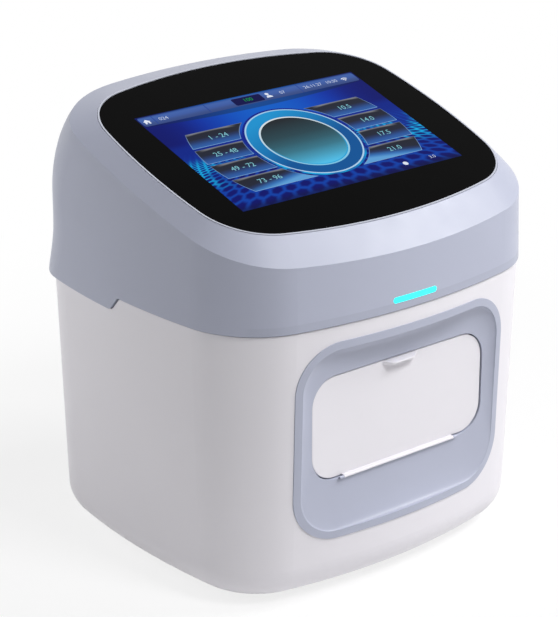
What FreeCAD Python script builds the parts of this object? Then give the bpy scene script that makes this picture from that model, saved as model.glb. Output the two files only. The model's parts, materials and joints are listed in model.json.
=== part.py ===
"""Bench-top haemoglobin analyser: tapered housing, hinged cover with sloped touch screen, sample flap.

Frame: X to the right, Y to the back, Z up, in millimetres. The origin is on the table, under the middle.
"""
import FreeCAD, Part
import math
import os

V = FreeCAD.Vector
X_AXIS, Y_AXIS, Z_AXIS = V(1, 0, 0), V(0, 1, 0), V(0, 0, 1)
OUT_DIR = "parts"
FAR = 260.0
RUN_FIT = 0.05
CLEAR = 0.3

# Outer form of the body
BODY_WIDTH = 324.0
BODY_DEPTH = 301.0
FRONT_Y = -BODY_DEPTH / 2
BACK_Y = BODY_DEPTH / 2
FACE_RADIUS = 475.0
SIDE_RADIUS = 609.0
CORNER_RADIUS = 68.5
WALL = 3.0
FOOT_HEIGHT = 3.2
FOOT_RADIUS = 9.0
FOOT_POCKET = 1.0
BASE_INSET = 7.0
BASE_ROUND = 28.0
SEAM_FRONT_Z = 223.4
SEAM_BACK_Z = 212.0
SEAM_GAP_FRONT = 0.9
SEAM_GAP_BACK = 0.3
SEAM_STEP_Y = 6.0
SEAM_STEP_RUN = 10.0
SEAM_STEP_ROUND = 4.0
SEAM_TUCK = 1.2

# Cover above the seam
COVER_DRAFT = 0.0326
CREASE_FRONT_Z = 268.3
CREASE_SLOPE = 17.6
BACK_LEAN_Z = 291.6
BACK_LEAN_RADIUS = 80.5
BACK_CORNER_Z = 290.6
BACK_CORNER_GROWTH = 0.39

# Glass, in its own sloped plane
GLASS_SLOPE = 16.84
GLASS_PLANE_Z = 282.05
GLASS_CENTRE_Y = -17.6
GLASS_HALF_WIDTH = 143.3
GLASS_HALF_LENGTH = 115.3
GLASS_FACE_RADIUS = 452.0
GLASS_SIDE_RADIUS = 495.0
GLASS_CORNER = 53.1
GLASS_THICKNESS = 3.0
TRIM_WIDTH = 1.6
TRIM_GAP = 0.3
TRIM_PROUD = 0.5
SCREEN_WIDTH = 217.0
SCREEN_LENGTH = 136.0
SCREEN_FRAME = 6.0
SCREEN_THICKNESS = 6.0
SCREEN_SHIFT = (-0.8, -0.8)
SEAT_HALF_WIDTH = 124.0
SEAT_HALF_LENGTH = 82.0

# Light bar on the cover
LIGHT_WIDTH = 43.0
LIGHT_HEIGHT = 4.6
LIGHT_Z = 231.6
LIGHT_FLANGE = 3.0
LIGHT_BACK = FRONT_Y + 7.5
LAMP_DEPTH = 1.6
LAMP_BOARD = 1.2

# Recess round the sample flap
FRAME_HALF_WIDTH = 103.9
FRAME_HALF_HEIGHT = 79.9
FRAME_CORNER = 38.0
FRAME_Z = 130.0
FRAME_LIP = 6.0
FRAME_PROUD = 0.8
FRAME_WALL = 2.4
FRAME_HOLE_INSET = 3.0
COVE_ANGLES = (15.0, 30.0, 45.0, 60.0, 75.0)
BAY_HALF_WIDTH = 86.5
BAY_HALF_HEIGHT = 41.9
BAY_CORNER = 22.6
BAY_Z = 137.7
BAY_Y = FRONT_Y + 15.5
BAY_RETURN = 5.5

# Sample flap, turning on a hem bead in front of its lower edge
FLAP_GAP = 0.8
FLAP_THICKNESS = 3.0
FLAP_Y = BAY_Y + 1.0
FLAP_BACK = FLAP_Y + FLAP_THICKNESS
FLAP_EDGE_ROUND = 0.8
HEM_Y = BAY_Y - 1.4
HEM_Z = BAY_Z - BAY_HALF_HEIGHT + 0.1
HEM_RADIUS = 1.1
HEM_HALF = 56.0
HEM_WEB = 1.2
HEM_LUG = 4.0
FLAP_PIN = 0.55
FLAP_PIN_LENGTH = 7.0
PULL_HALF = 17.0
PULL_TIP_HALF = 10.5
PULL_REACH = 6.0

# Cover hinge at the back
HINGE_KNUCKLE = 3.2
HINGE_Y = BACK_Y + 1.2
HINGE_Z = 212.15
HINGE_X = 60.0
HINGE_PIN = 1.5
HINGE_PAD_GAP = 0.15
HINGE_PAD_Y = HINGE_Y - HINGE_KNUCKLE - HINGE_PAD_GAP
HINGE_PAD_DEPTH = 12.0
HINGE_LEAF_WIDTH = 28.0
HINGE_LEAF_HEIGHT = 22.0
HINGE_LEAF = 2.0

# Chassis
PLATE_Z = 16.0
PLATE_THICKNESS = 2.0
PLATE_TOP = PLATE_Z + PLATE_THICKNESS
PLATE_INSET = 18.0
POST_PLACES = [(-66, FRONT_Y + 39.5), (66, FRONT_Y + 39.5), (-66, BACK_Y - 40.5), (66, BACK_Y - 40.5)]
POST_PLACES += [(-BODY_WIDTH / 2 + 26, -12.4), (BODY_WIDTH / 2 - 26, -12.4)]
FOOT_X = BODY_WIDTH / 2 - 55.5
FOOT_Y = BODY_DEPTH / 2 - 60.5
FOOT_PLACES = [(-FOOT_X, -FOOT_Y), (FOOT_X, -FOOT_Y), (-FOOT_X, FOOT_Y), (FOOT_X, FOOT_Y)]

# Sample bay
TUBE_COUNT = 7
TUBE_PITCH = 20.0
TUBE_RADIUS = 6.5
TUBE_LENGTH = 75.0
TUBE_BASE = 96.0
SHEET = 1.5
DECK_TOP = 70.0
LINER_HALF_WIDTH = TUBE_PITCH * TUBE_COUNT / 2 + 14
LINER_FRONT = BAY_Y + 14
LINER_TOP = 175.5
RACK_Y = LINER_FRONT + 17
TRAY_TRAVEL = 56.0
NEEDLE_Y = RACK_Y + TRAY_TRAVEL
LINER_BACK = NEEDLE_Y + 32
DECK_HALF_WIDTH = LINER_HALF_WIDTH + 3.5
DECK_FRONT = LINER_FRONT - 3.5
DECK_BACK = LINER_BACK + 40
NEEDLE_X_TRAVEL = 60.0
NEEDLE_Z_TRAVEL = 60.0
ROD_Z = 84.0
ROD_X = 50.0
ROD_RADIUS = 3.0
MOTOR_HALF = 14.0

# Needle drive
GANTRY_X = DECK_HALF_WIDTH + 1
GANTRY_Y = LINER_BACK + 4
GANTRY_Z = 218.0
CROSS_Y = GANTRY_Y - 21
CROSS_Z = 240.0
SCREW_RADIUS = 2.5
HOLDER_Z = 243.0
GUIDE_Z0 = HOLDER_Z - NEEDLE_Z_TRAVEL - 5
GUIDE_Z1 = HOLDER_Z + 19
NEEDLE_TIP_Z = 173.5
LIFT_X = 10.0

# Separation and detection
OVEN = (102.0, 146.0, -66.0, 56.0, 150.0, 178.0)
COLUMN_X = (OVEN[0] + OVEN[1]) / 2
COLUMN_Y0 = OVEN[2] + 16
COLUMN_Y1 = OVEN[3] - 16
COLUMN_Z = 165.0
COLUMN_RADIUS = 6.0
VALVE_X = 20.0
VALVE_Y = DECK_BACK + 38
VALVE_Z = 110.0
PUMP_X = -112.0
PUMP_Y = 22.0
PUMP_HEAD = 30.0
PUMP_LENGTH = 70.0
PUMP_TRAVEL = 20.0
PUMP_Z = 50.0
PLUNGER_X = 8.0
PUMP_ROD_X = 18.0
BOTTLE_X = -119.0
BOTTLE_Y = (-78.0, -38.0)
BOTTLE_RADIUS = 18.5
BOTTLE_HEIGHT = 135.0
BOTTLE_WALL = 1.5
SUPPLY = (50.0, 120.0, DECK_BACK + 6, BACK_Y - 46.5, 56.0)

# Rear panel
PANEL_HALF_WIDTH = 88.0
PANEL_Z0 = 40.0
PANEL_Z1 = 160.0
PANEL_Y = BACK_Y - 19.0
PANEL_COLLAR = 2.5
FAN_X = -50.0
FAN_Z = 100.0
FAN_HALF = 30.0
FAN_DEPTH = 25.0
FAN_BORE = 28.0
INLET_X = 30.0
INLET_Z = 62.0
INLET_HALF = (13.2, 9.8)
SWITCH_X = 64.0
SWITCH_HALF = (6.3, 10.8)
SWITCH_TILT = 9.0
SOCKET_Z = 96.0
SOCKETS = [(8.0, 6.8, 28.0, SOCKET_Z), (15.5, 5.5, 62.0, SOCKET_Z)]
FITTING_X = (10.0, 32.0, 54.0, 76.0)
FITTING_Z = 138.0
FITTING_RADIUS = 3.8


def box(x0, x1, y0, y1, z0, z1):
    """A box between two corners."""
    return Part.makeBox(x1 - x0, y1 - y0, z1 - z0, V(x0, y0, z0))


def rod(start, axis, radius, length):
    """A cylinder from a start point along an axis."""
    return Part.makeCylinder(radius, length, start, axis)


def fused(shapes):
    """One shape from several that meet."""
    return shapes[0].multiFuse(shapes[1:]).removeSplitter()


def group(shapes):
    """Separate solids kept in one node."""
    return Part.makeCompound(shapes)


def save(name, shape):
    """Write one node."""
    shape.exportStep(os.path.join(OUT_DIR, name + ".step"))


def rounded_wire(points, radii):
    """A closed planar wire through corner points, each corner rounded by its own radius."""
    count = len(points)
    if not isinstance(radii, (list, tuple)):
        radii = [radii] * count
    entries, arcs, exits = [], [], []
    for i, corner in enumerate(points):
        back = (points[i - 1] - corner).normalize()
        ahead = (points[(i + 1) % count] - corner).normalize()
        if radii[i] <= 0:
            entries.append(corner)
            exits.append(corner)
            arcs.append(None)
            continue
        half = back.getAngle(ahead) / 2
        reach = radii[i] / math.tan(half)
        middle = (back + ahead).normalize()
        centre = corner + middle * (radii[i] / math.sin(half))
        entries.append(corner + back * reach)
        exits.append(corner + ahead * reach)
        arcs.append(Part.Arc(entries[-1], centre - middle * radii[i], exits[-1]).toShape())
    edges = []
    for i in range(count):
        if arcs[i]:
            edges.append(arcs[i])
        following = entries[(i + 1) % count]
        if (following - exits[i]).Length > 1e-6:
            edges.append(Part.makeLine(exits[i], following))
    return Part.Wire(edges)


def side_profile(points, x0, x1, radii=0):
    """A profile of (y, z) points extruded along X."""
    wire = rounded_wire([V(x0, y, z) for y, z in points], radii)
    return Part.Face(wire).extrude(V(x1 - x0, 0, 0))


def plan_profile(points, z0, z1, radii=0):
    """A profile of (x, y) points extruded upwards."""
    wire = rounded_wire([V(x, y, z0) for x, y in points], radii)
    return Part.Face(wire).extrude(V(0, 0, z1 - z0))


def front_profile(points, y0, y1, radii=0):
    """A profile of (x, z) points extruded backwards."""
    wire = rounded_wire([V(x, y0, z) for x, z in points], radii)
    return Part.Face(wire).extrude(V(0, y1 - y0, 0))


def rectangle(half_width, half_height, middle_x=0.0, middle_z=0.0):
    """Corner points of a rectangle about a middle."""
    return [
        (middle_x - half_width, middle_z - half_height),
        (middle_x + half_width, middle_z - half_height),
        (middle_x + half_width, middle_z + half_height),
        (middle_x - half_width, middle_z + half_height),
    ]


def corner_centre(half_width, half_depth, face_radius, side_radius, corner_radius):
    """Centre of the corner arc that touches both the bowed face and the bowed side."""
    x, y = half_width - corner_radius, half_depth - corner_radius
    for _ in range(30):
        fx = x * x + (y + face_radius - half_depth) ** 2 - (face_radius - corner_radius) ** 2
        fy = (x - half_width + side_radius) ** 2 + y * y - (side_radius - corner_radius) ** 2
        a, b = 2 * x, 2 * (y + face_radius - half_depth)
        c, d = 2 * (x - half_width + side_radius), 2 * y
        det = a * d - b * c
        x -= (fx * d - fy * b) / det
        y -= (fy * a - fx * c) / det
    return x, y


def bowed_wire(half_width, front, back, face_radius, side_radius, corners, place):
    """Rounded rectangle with bowed sides.

    front and back are distances from the middle, corners the radii of the front and back corners,
    and place maps (x, y) to 3-D.
    """
    marks = {}
    for name, half, corner_radius in (("front", front, corners[0]), ("back", back, corners[1])):
        cx, cy = corner_centre(half_width, half, face_radius, side_radius, corner_radius)
        face_angle = math.atan2(cy + face_radius - half, cx)
        side_angle = math.atan2(cy, cx - half_width + side_radius)
        mid_angle = (face_angle + side_angle) / 2
        marks[name] = {
            "face": (
                face_radius * math.cos(face_angle),
                face_radius * math.sin(face_angle) - face_radius + half,
            ),
            "mid": (cx + corner_radius * math.cos(mid_angle), cy + corner_radius * math.sin(mid_angle)),
            "side": (
                half_width - side_radius + side_radius * math.cos(side_angle),
                side_radius * math.sin(side_angle),
            ),
        }

    def point(end, mark, sx):
        x, y = marks[end][mark]
        return place(sx * x, -y if end == "front" else y)

    def arc(a, b, c):
        return Part.Arc(a, b, c).toShape()

    right, left = place(half_width, 0), place(-half_width, 0)
    edges = [
        arc(point("front", "face", -1), place(0, -front), point("front", "face", 1)),
        arc(point("front", "face", 1), point("front", "mid", 1), point("front", "side", 1)),
        arc(point("front", "side", 1), right, point("back", "side", 1)),
        arc(point("back", "side", 1), point("back", "mid", 1), point("back", "face", 1)),
        arc(point("back", "face", 1), place(0, back), point("back", "face", -1)),
        arc(point("back", "face", -1), point("back", "mid", -1), point("back", "side", -1)),
        arc(point("back", "side", -1), left, point("front", "side", -1)),
        arc(point("front", "side", -1), point("front", "mid", -1), point("front", "face", -1)),
    ]
    return Part.Wire(edges)


def body_wire(z, inset, back_inset=0.0, back_growth=0.0):
    """Plan outline of the body at a height, drawn in by an inset, with larger back corners by a growth."""
    corner = CORNER_RADIUS - inset
    return bowed_wire(
        BODY_WIDTH / 2 - inset,
        BODY_DEPTH / 2 - inset,
        BODY_DEPTH / 2 - inset - back_inset,
        FACE_RADIUS - inset,
        SIDE_RADIUS - inset,
        (corner, corner + back_growth),
        lambda x, y: V(x, y, z),
    )


def housing_inset(z):
    """How far the lower housing is drawn in at a height."""
    return SEAM_TUCK + (BASE_INSET - SEAM_TUCK) * (SEAM_FRONT_Z - z) / (SEAM_FRONT_Z - FOOT_HEIGHT)


def housing_form(offset):
    """Solid form of the lower housing, offset inwards."""
    floor = FOOT_HEIGHT + offset
    curve = BASE_ROUND - offset
    steps = 5
    wires = []
    for i in range(steps + 1):
        angle = math.pi / 2 * i / steps
        z = floor + curve * (1 - math.cos(angle))
        wires.append(body_wire(z, housing_inset(z) + offset + curve * (1 - math.sin(angle))))
    bowl = Part.makeLoft(wires, True, False)
    wall_top = SEAM_FRONT_Z + 30
    sides = Part.makeLoft([wires[-1], body_wire(wall_top, housing_inset(wall_top) + offset)], True, True)
    return bowl.fuse(sides).removeSplitter()


def below_seam(front_gap, back_gap):
    """Everything under the stepped seam line, lowered by a gap before and behind the step."""
    half_run = SEAM_STEP_RUN / 2
    profile = [
        (-FAR, -FAR),
        (FAR, -FAR),
        (FAR, SEAM_BACK_Z - back_gap),
        (SEAM_STEP_Y + half_run - front_gap, SEAM_BACK_Z - back_gap),
        (SEAM_STEP_Y - half_run - front_gap, SEAM_FRONT_Z - front_gap),
        (-FAR, SEAM_FRONT_Z - front_gap),
    ]
    return side_profile(profile, -FAR, FAR, [0, 0, 0, SEAM_STEP_ROUND, SEAM_STEP_ROUND, 0])


def cover_form(offset):
    """Walls of the cover up to the top of the leaning back, offset inwards."""
    heights = [SEAM_BACK_Z - 20, 240, BACK_LEAN_Z - 25, BACK_LEAN_Z, 304, 318, 332, 346, 358]
    wires = []
    for z in heights:
        rise = max(0.0, z - BACK_LEAN_Z)
        lean = BACK_LEAN_RADIUS - math.sqrt(BACK_LEAN_RADIUS**2 - rise**2)
        growth = BACK_CORNER_GROWTH * max(0.0, z - BACK_CORNER_Z)
        wires.append(body_wire(z, COVER_DRAFT * (z - SEAM_FRONT_Z) + offset, lean, growth))
    return Part.makeLoft(wires, True, False)


def below_slope(front_z, slope, drop=0.0):
    """Half space under a plane that rises towards the back."""
    rise = math.tan(math.radians(slope))
    low = front_z - drop + (BODY_DEPTH / 2 - FAR) * rise
    high = front_z - drop + (BODY_DEPTH / 2 + FAR) * rise
    return side_profile([(-FAR, 0), (FAR, 0), (FAR, high), (-FAR, low)], -FAR, FAR)


def on_glass(x, v, w=0.0):
    """A point given across, up the slope and out of the glass plane."""
    slope = math.radians(GLASS_SLOPE)
    middle_z = GLASS_PLANE_Z + (GLASS_CENTRE_Y + BODY_DEPTH / 2) * math.tan(slope)
    y = GLASS_CENTRE_Y + v * math.cos(slope) - w * math.sin(slope)
    return V(x, y, middle_z + v * math.sin(slope) + w * math.cos(slope))


GLASS_NORMAL = on_glass(0, 0, 1) - on_glass(0, 0, 0)


def glass_wire(offset, w):
    """Outline of the glass, grown by an offset, at a height over the glass plane."""
    half_length = GLASS_HALF_LENGTH + offset
    return bowed_wire(
        GLASS_HALF_WIDTH + offset,
        half_length,
        half_length,
        GLASS_FACE_RADIUS + offset,
        GLASS_SIDE_RADIUS + offset,
        (GLASS_CORNER + offset, GLASS_CORNER + offset),
        lambda x, v: on_glass(x, v, w),
    )


def glass_slab(offset, w0, w1):
    """A slab with the outline of the glass between two heights over its plane."""
    return Part.Face(glass_wire(offset, w0)).extrude(GLASS_NORMAL * (w1 - w0))


def sloped_box(x0, x1, v0, v1, w0, w1, radius=0):
    """A box lying in the glass plane."""
    corners = [on_glass(x, v, w0) for x, v in ((x0, v0), (x1, v0), (x1, v1), (x0, v1))]
    return Part.Face(rounded_wire(corners, radius)).extrude(GLASS_NORMAL * (w1 - w0))


def cover_solid(offset, drop, glass_inset, glass_drop):
    """Walls and rim of the cover as one solid, offset inwards."""
    walls = cover_form(offset).common(below_slope(CREASE_FRONT_Z, CREASE_SLOPE, drop))
    crease = max(walls.Faces, key=lambda face: face.normalAt(0, 0).z * face.Area).OuterWire
    rim = Part.makeLoft([crease, glass_wire(-glass_inset, -glass_drop)], True, True)
    return walls, rim


def on_front(x, z, outset=0.0):
    """A point on the bowed front face of the housing, moved outwards by an outset."""
    inset = housing_inset(z) - outset
    radius = FACE_RADIUS - inset
    return V(x, radius - BODY_DEPTH / 2 + inset - math.sqrt(radius**2 - x**2), z)


def bay_wire(half_width, half_height, middle_z, corner, place):
    """Rounded rectangle in the front view, as eight curves through placed points."""
    bend = corner * (1 - math.sqrt(0.5))
    xs, zs = half_width - corner, half_height - corner
    edges = []
    marks = []
    for sx, sz in ((1, -1), (1, 1), (-1, 1), (-1, -1)):
        low = (sx * xs, middle_z + sz * half_height)
        mid = (sx * (half_width - bend), middle_z + sz * (half_height - bend))
        side = (sx * half_width, middle_z + sz * zs)
        marks.append((low, mid, side) if sx * sz < 0 else (side, mid, low))
    for i, (start, mid, end) in enumerate(marks):
        edges.append(Part.Arc(place(*start), place(*mid), place(*end)).toShape())
        following = marks[(i + 1) % 4][0]
        halfway = ((end[0] + following[0]) / 2, (end[1] + following[1]) / 2)
        a, b, c = place(*end), place(*halfway), place(*following)
        straight = (b - a).cross(c - a).Length < 1e-6
        edges.append(Part.makeLine(a, c) if straight else Part.Arc(a, b, c).toShape())
    return Part.Wire(edges)


def cove_wire(share, depth, growth, outset):
    """Section of the funnel: share of the way from lip to mouth in the front view, and of the depth."""
    lip = (FRAME_HALF_WIDTH - FRAME_LIP, FRAME_HALF_HEIGHT - FRAME_LIP, FRAME_Z, FRAME_CORNER - FRAME_LIP)
    mouth = (BAY_HALF_WIDTH, BAY_HALF_HEIGHT, BAY_Z, BAY_CORNER)
    half_width, half_height, middle_z, corner = [a + (b - a) * share for a, b in zip(lip, mouth)]

    def place(x, z):
        face = on_front(x, z, outset)
        return V(x, face.y + (BAY_Y + growth - face.y) * depth, z)

    return bay_wire(half_width + growth, half_height + growth, middle_z, corner + growth, place)


def funnel(growth, back_y, outset=0.0):
    """Coved funnel from the lip on the bowed face to the flat mouth of the bay, grown all round."""
    sections = [cove_wire(0, 0, growth, outset)]
    for degrees in COVE_ANGLES:
        angle = math.radians(degrees)
        sections.append(cove_wire(1 - math.cos(angle), math.sin(angle), growth, outset))
    sections.append(cove_wire(1, 1, growth, outset))
    lip = (FRAME_HALF_WIDTH - FRAME_LIP + growth, FRAME_HALF_HEIGHT - FRAME_LIP + growth, FRAME_Z)
    mouth = (BAY_HALF_WIDTH + growth, BAY_HALF_HEIGHT + growth, BAY_Z, BAY_CORNER + growth)
    outside = bay_wire(*lip, FRAME_CORNER - FRAME_LIP + growth, lambda x, z: V(x, 2 * FRONT_Y, z))
    inside = bay_wire(*mouth, lambda x, z: V(x, back_y, z))
    faces = [Part.Face(outside), Part.Face(inside)]
    faces += Part.makeLoft([outside, sections[0]], False, True).Faces
    faces += Part.makeLoft(sections, False, False).Faces
    faces += Part.makeLoft([sections[-1], inside], False, True).Faces
    skin = Part.makeShell(faces)
    skin.sewShape()
    body = Part.makeSolid(skin)
    return body if body.Volume > 0 else body.reversed()


def front_plug(half_width, half_height, middle_z, corner):
    """A rounded block through the front wall."""
    return front_profile(rectangle(half_width, half_height, 0, middle_z), -FAR, FRONT_Y + 50, corner)


def recess_frame():
    """Grey surround with a raised lip and a scooped funnel down to the flap."""
    skin = housing_form(-FRAME_PROUD).cut(housing_form(0))
    lip = skin.common(front_plug(FRAME_HALF_WIDTH, FRAME_HALF_HEIGHT, FRAME_Z, FRAME_CORNER))
    shell = funnel(FRAME_WALL, BAY_Y + BAY_RETURN, FRAME_PROUD).common(housing_form(-FRAME_PROUD))
    frame = lip.fuse(shell).cut(funnel(0, BAY_Y + BAY_RETURN + 1, FRAME_PROUD))
    lugs = []
    for side in (-1, 1):
        x0 = min(side * (HEM_HALF + CLEAR), side * (HEM_HALF + CLEAR + HEM_LUG))
        eye = rod(V(x0, HEM_Y, HEM_Z), X_AXIS, HEM_RADIUS, HEM_LUG)
        root = box(x0, x0 + HEM_LUG, HEM_Y, BAY_Y + 0.8, HEM_Z - HEM_RADIUS, HEM_Z - 0.2)
        bore = rod(V(x0 - 1, HEM_Y, HEM_Z), X_AXIS, FLAP_PIN + RUN_FIT, HEM_LUG + 2)
        lugs.append(eye.fuse(root).cut(bore))
    return frame.multiFuse(lugs).removeSplitter()


def rear_mouth(half_width, grow, y0):
    """Rounded block through the rear wall."""
    middle_z = (PANEL_Z0 + PANEL_Z1) / 2
    half_height = (PANEL_Z1 - PANEL_Z0) / 2 + grow
    return front_profile(rectangle(half_width + grow, half_height, 0, middle_z), y0, FAR, 6 + grow)


def lower_housing():
    """Tapered tub with the front and rear openings, posts, foot pockets and hinge pads."""
    outer = housing_form(0)
    shell = outer.cut(housing_form(WALL))
    collar = rear_mouth(PANEL_HALF_WIDTH, PANEL_COLLAR, PANEL_Y).common(outer)
    posts = [rod(V(x, y, FOOT_HEIGHT + 1), Z_AXIS, 6, PLATE_Z - FOOT_HEIGHT - 1) for x, y in POST_PLACES]
    posts = [post.common(housing_form(1)) for post in posts]
    pads = []
    for side in (-1, 1):
        half = HINGE_LEAF_WIDTH / 2 + 2
        x = side * HINGE_X
        top = SEAM_BACK_Z - SEAM_GAP_BACK
        pad_y = (HINGE_PAD_Y - HINGE_PAD_DEPTH, HINGE_PAD_Y)
        pads.append(box(x - half, x + half, *pad_y, top - HINGE_LEAF_HEIGHT - 6, top))
    body = shell.multiFuse([collar] + posts + pads)
    body = body.cut(rear_mouth(PANEL_HALF_WIDTH, 0, PANEL_Y - 30))
    inset = FRAME_HOLE_INSET
    plug = front_plug(FRAME_HALF_WIDTH - inset, FRAME_HALF_HEIGHT - inset, FRAME_Z, FRAME_CORNER - inset)
    body = body.cut(plug).common(below_seam(SEAM_GAP_FRONT, SEAM_GAP_BACK))
    for x, y in FOOT_PLACES:
        body = body.cut(rod(V(x, y, 0), Z_AXIS, FOOT_RADIUS + CLEAR, FOOT_HEIGHT + FOOT_POCKET))
    return body.removeSplitter()


def rubber_feet():
    """Four round feet seated in pockets of the floor."""
    feet = []
    for x, y in FOOT_PLACES:
        foot = rod(V(x, y, 0), Z_AXIS, FOOT_RADIUS, FOOT_HEIGHT + FOOT_POCKET)
        lower_edge = [edge for edge in foot.Edges if edge.BoundBox.ZMax < 0.1]
        feet.append(foot.makeFillet(1.0, lower_edge))
    return group(feet)


def top_cover():
    """Cover shell: walls, sloped rim, glass seat, light slot and hinge pads."""
    walls, rim = cover_solid(0, 0, -TRIM_WIDTH - 2 * TRIM_GAP, 0)
    outer = walls.fuse(rim)
    inner_walls, inner_rim = cover_solid(WALL, 3.4, 7, 9)
    pads = []
    for side in (-1, 1):
        half = HINGE_LEAF_WIDTH / 2 + 2
        x = side * HINGE_X
        pad_y = (HINGE_PAD_Y - HINGE_PAD_DEPTH, HINGE_PAD_Y)
        pads.append(box(x - half, x + half, *pad_y, SEAM_BACK_Z, SEAM_BACK_Z + HINGE_LEAF_HEIGHT + 10))
    shell = outer.cut(inner_walls.fuse(inner_rim)).multiFuse(pads)
    shell = shell.cut(glass_slab(TRIM_WIDTH + TRIM_GAP, -GLASS_THICKNESS, 20))
    seat = sloped_box(-SEAT_HALF_WIDTH, SEAT_HALF_WIDTH, -SEAT_HALF_LENGTH, SEAT_HALF_LENGTH, -40, 0, 6)
    shell = shell.cut(seat).cut(light_slot(0.0, -FAR, LIGHT_BACK + 10)).cut(below_seam(0, 0))
    return shell.removeSplitter()


def light_slot(grow, y0, y1):
    """Stadium block for the light bar."""
    half_height = LIGHT_HEIGHT / 2 + grow
    corners = rectangle(LIGHT_WIDTH / 2 + grow, half_height, 0, LIGHT_Z)
    return front_profile(corners, y0, y1, half_height - 0.01)


def light_bar():
    """Light guide that fills the slot and lies on the wall from behind with a flange."""
    body = light_slot(0, FRONT_Y - 5, LIGHT_BACK).common(cover_form(-0.1))
    flange = light_slot(LIGHT_FLANGE, -FAR, LIGHT_BACK).common(cover_form(WALL))
    return body.fuse(flange).removeSplitter()


def light_board():
    """Strip of lamps behind the light bar."""
    front = LIGHT_BACK + LAMP_DEPTH
    board = box(-27, 27, front, front + LAMP_BOARD, LIGHT_Z - 6, LIGHT_Z + 6)
    lamps = []
    for x in range(-18, 19, 9):
        lamps.append(box(x - 1.5, x + 1.5, LIGHT_BACK, front, LIGHT_Z - 1.5, LIGHT_Z + 1.5))
    return board.multiFuse(lamps)


def screen_trim():
    """Thin ring round the glass."""
    ring = glass_slab(TRIM_WIDTH, -GLASS_THICKNESS, TRIM_PROUD)
    return ring.cut(glass_slab(TRIM_GAP, -GLASS_THICKNESS - 1, 1))


def touch_glass():
    """Black-edged cover glass."""
    return glass_slab(0, -GLASS_THICKNESS, 0)


def screen_edges(grow):
    """Limits of the screen in the glass plane."""
    x, v = SCREEN_SHIFT
    half_width = SCREEN_WIDTH / 2 + grow
    half_length = SCREEN_LENGTH / 2 + grow
    return x - half_width, x + half_width, v - half_length, v + half_length


def screen_module():
    """Display panel under the glass."""
    return sloped_box(*screen_edges(SCREEN_FRAME), -GLASS_THICKNESS - SCREEN_THICKNESS, -GLASS_THICKNESS, 2)


def screen_bracket():
    """Pressed frame that holds the display, with a folded lip and lugs under the seat."""
    top = -GLASS_THICKNESS - SCREEN_THICKNESS
    x0, x1, v0, v1 = screen_edges(SCREEN_FRAME)
    tray = sloped_box(x0 - 2, x1 + 2, v0 - 2, v1 + 2, top - SHEET, top + 3, 3)
    tray = tray.cut(sloped_box(x0 - 0.3, x1 + 0.3, v0 - 0.3, v1 + 0.3, top, top + 10, 2))
    tray = tray.cut(sloped_box(x0 + 14, x1 - 14, v0 + 14, v1 - 14, top - 10, top + 10, 8))
    return tray


def screen_board():
    """Driver board behind the display with its main chips and sockets."""
    top = -GLASS_THICKNESS - SCREEN_THICKNESS - SHEET - 5
    x, v = SCREEN_SHIFT
    pieces = [sloped_box(x - 108, x + 108, v - 71, v + 71, top - 1.6, top, 3)]
    for px in (-104, 104):
        for pv in (-66, 66):
            pieces.append(rod(on_glass(x + px, v + pv, top), GLASS_NORMAL, 2.5, 5))
    chips = [(-30, 10, 24, 24, 2), (20, 5, 16, 20, 2), (60, -40, 30, 8, 5), (-70, 42, 26, 8, 4)]
    for px, pv, w, d, h in chips:
        pieces.append(sloped_box(px - w / 2, px + w / 2, pv - d / 2, pv + d / 2, top - 1.6 - h, top - 1.6))
    return fused(pieces)


def hinge_leaf(side, below):
    """One hinge leaf with its knuckles."""
    x = side * HINGE_X
    half = HINGE_LEAF_WIDTH / 2
    start = HINGE_KNUCKLE + 0.9
    plate_y = (HINGE_PAD_Y, HINGE_PAD_Y + HINGE_LEAF)
    if below:
        plate = box(x - half, x + half, *plate_y, HINGE_Z - start - HINGE_LEAF_HEIGHT + 4, HINGE_Z - start)
        spans = [(x - half, x - 5.2), (x + 5.2, x + half)]
        strap_z = (HINGE_Z - start, HINGE_Z)
    else:
        plate = box(x - half, x + half, *plate_y, HINGE_Z + start, HINGE_Z + start + HINGE_LEAF_HEIGHT - 4)
        spans = [(x - 4.9, x + 4.9)]
        strap_z = (HINGE_Z, HINGE_Z + start)
    pieces = [plate]
    for x0, x1 in spans:
        pieces.append(rod(V(x0, HINGE_Y, HINGE_Z), X_AXIS, HINGE_KNUCKLE, x1 - x0))
        pieces.append(box(x0, x1, *plate_y, *strap_z))
    leaf = fused(pieces)
    bore = rod(V(x - half - 1, HINGE_Y, HINGE_Z), X_AXIS, HINGE_PIN + RUN_FIT, HINGE_LEAF_WIDTH + 2)
    leaf = leaf.cut(bore)
    middle_z = (plate.BoundBox.ZMin + plate.BoundBox.ZMax) / 2
    for dx in (-8, 8):
        head = Part.makeCone(1.6, 3.2, HINGE_LEAF, V(x + dx, plate_y[0], middle_z), Y_AXIS)
        leaf = leaf.cut(head)
    return leaf


def hinge_screws(below):
    """Countersunk screws of the hinge leaves."""
    start = HINGE_KNUCKLE + 0.9
    reach = (HINGE_LEAF_HEIGHT - 4) / 2 + start
    z = HINGE_Z - reach if below else HINGE_Z + reach
    screws = []
    for side in (-1, 1):
        for dx in (-8, 8):
            x = side * HINGE_X + dx
            screws.append(Part.makeCone(1.5, 3.1, HINGE_LEAF, V(x, HINGE_PAD_Y, z), Y_AXIS))
    return group(screws)


def hinge_pins():
    """Pins of the cover hinges."""
    reach = HINGE_LEAF_WIDTH / 2 - 0.5
    starts = [V(side * HINGE_X - reach, HINGE_Y, HINGE_Z) for side in (-1, 1)]
    return group([rod(start, X_AXIS, HINGE_PIN, 2 * reach) for start in starts])


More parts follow.
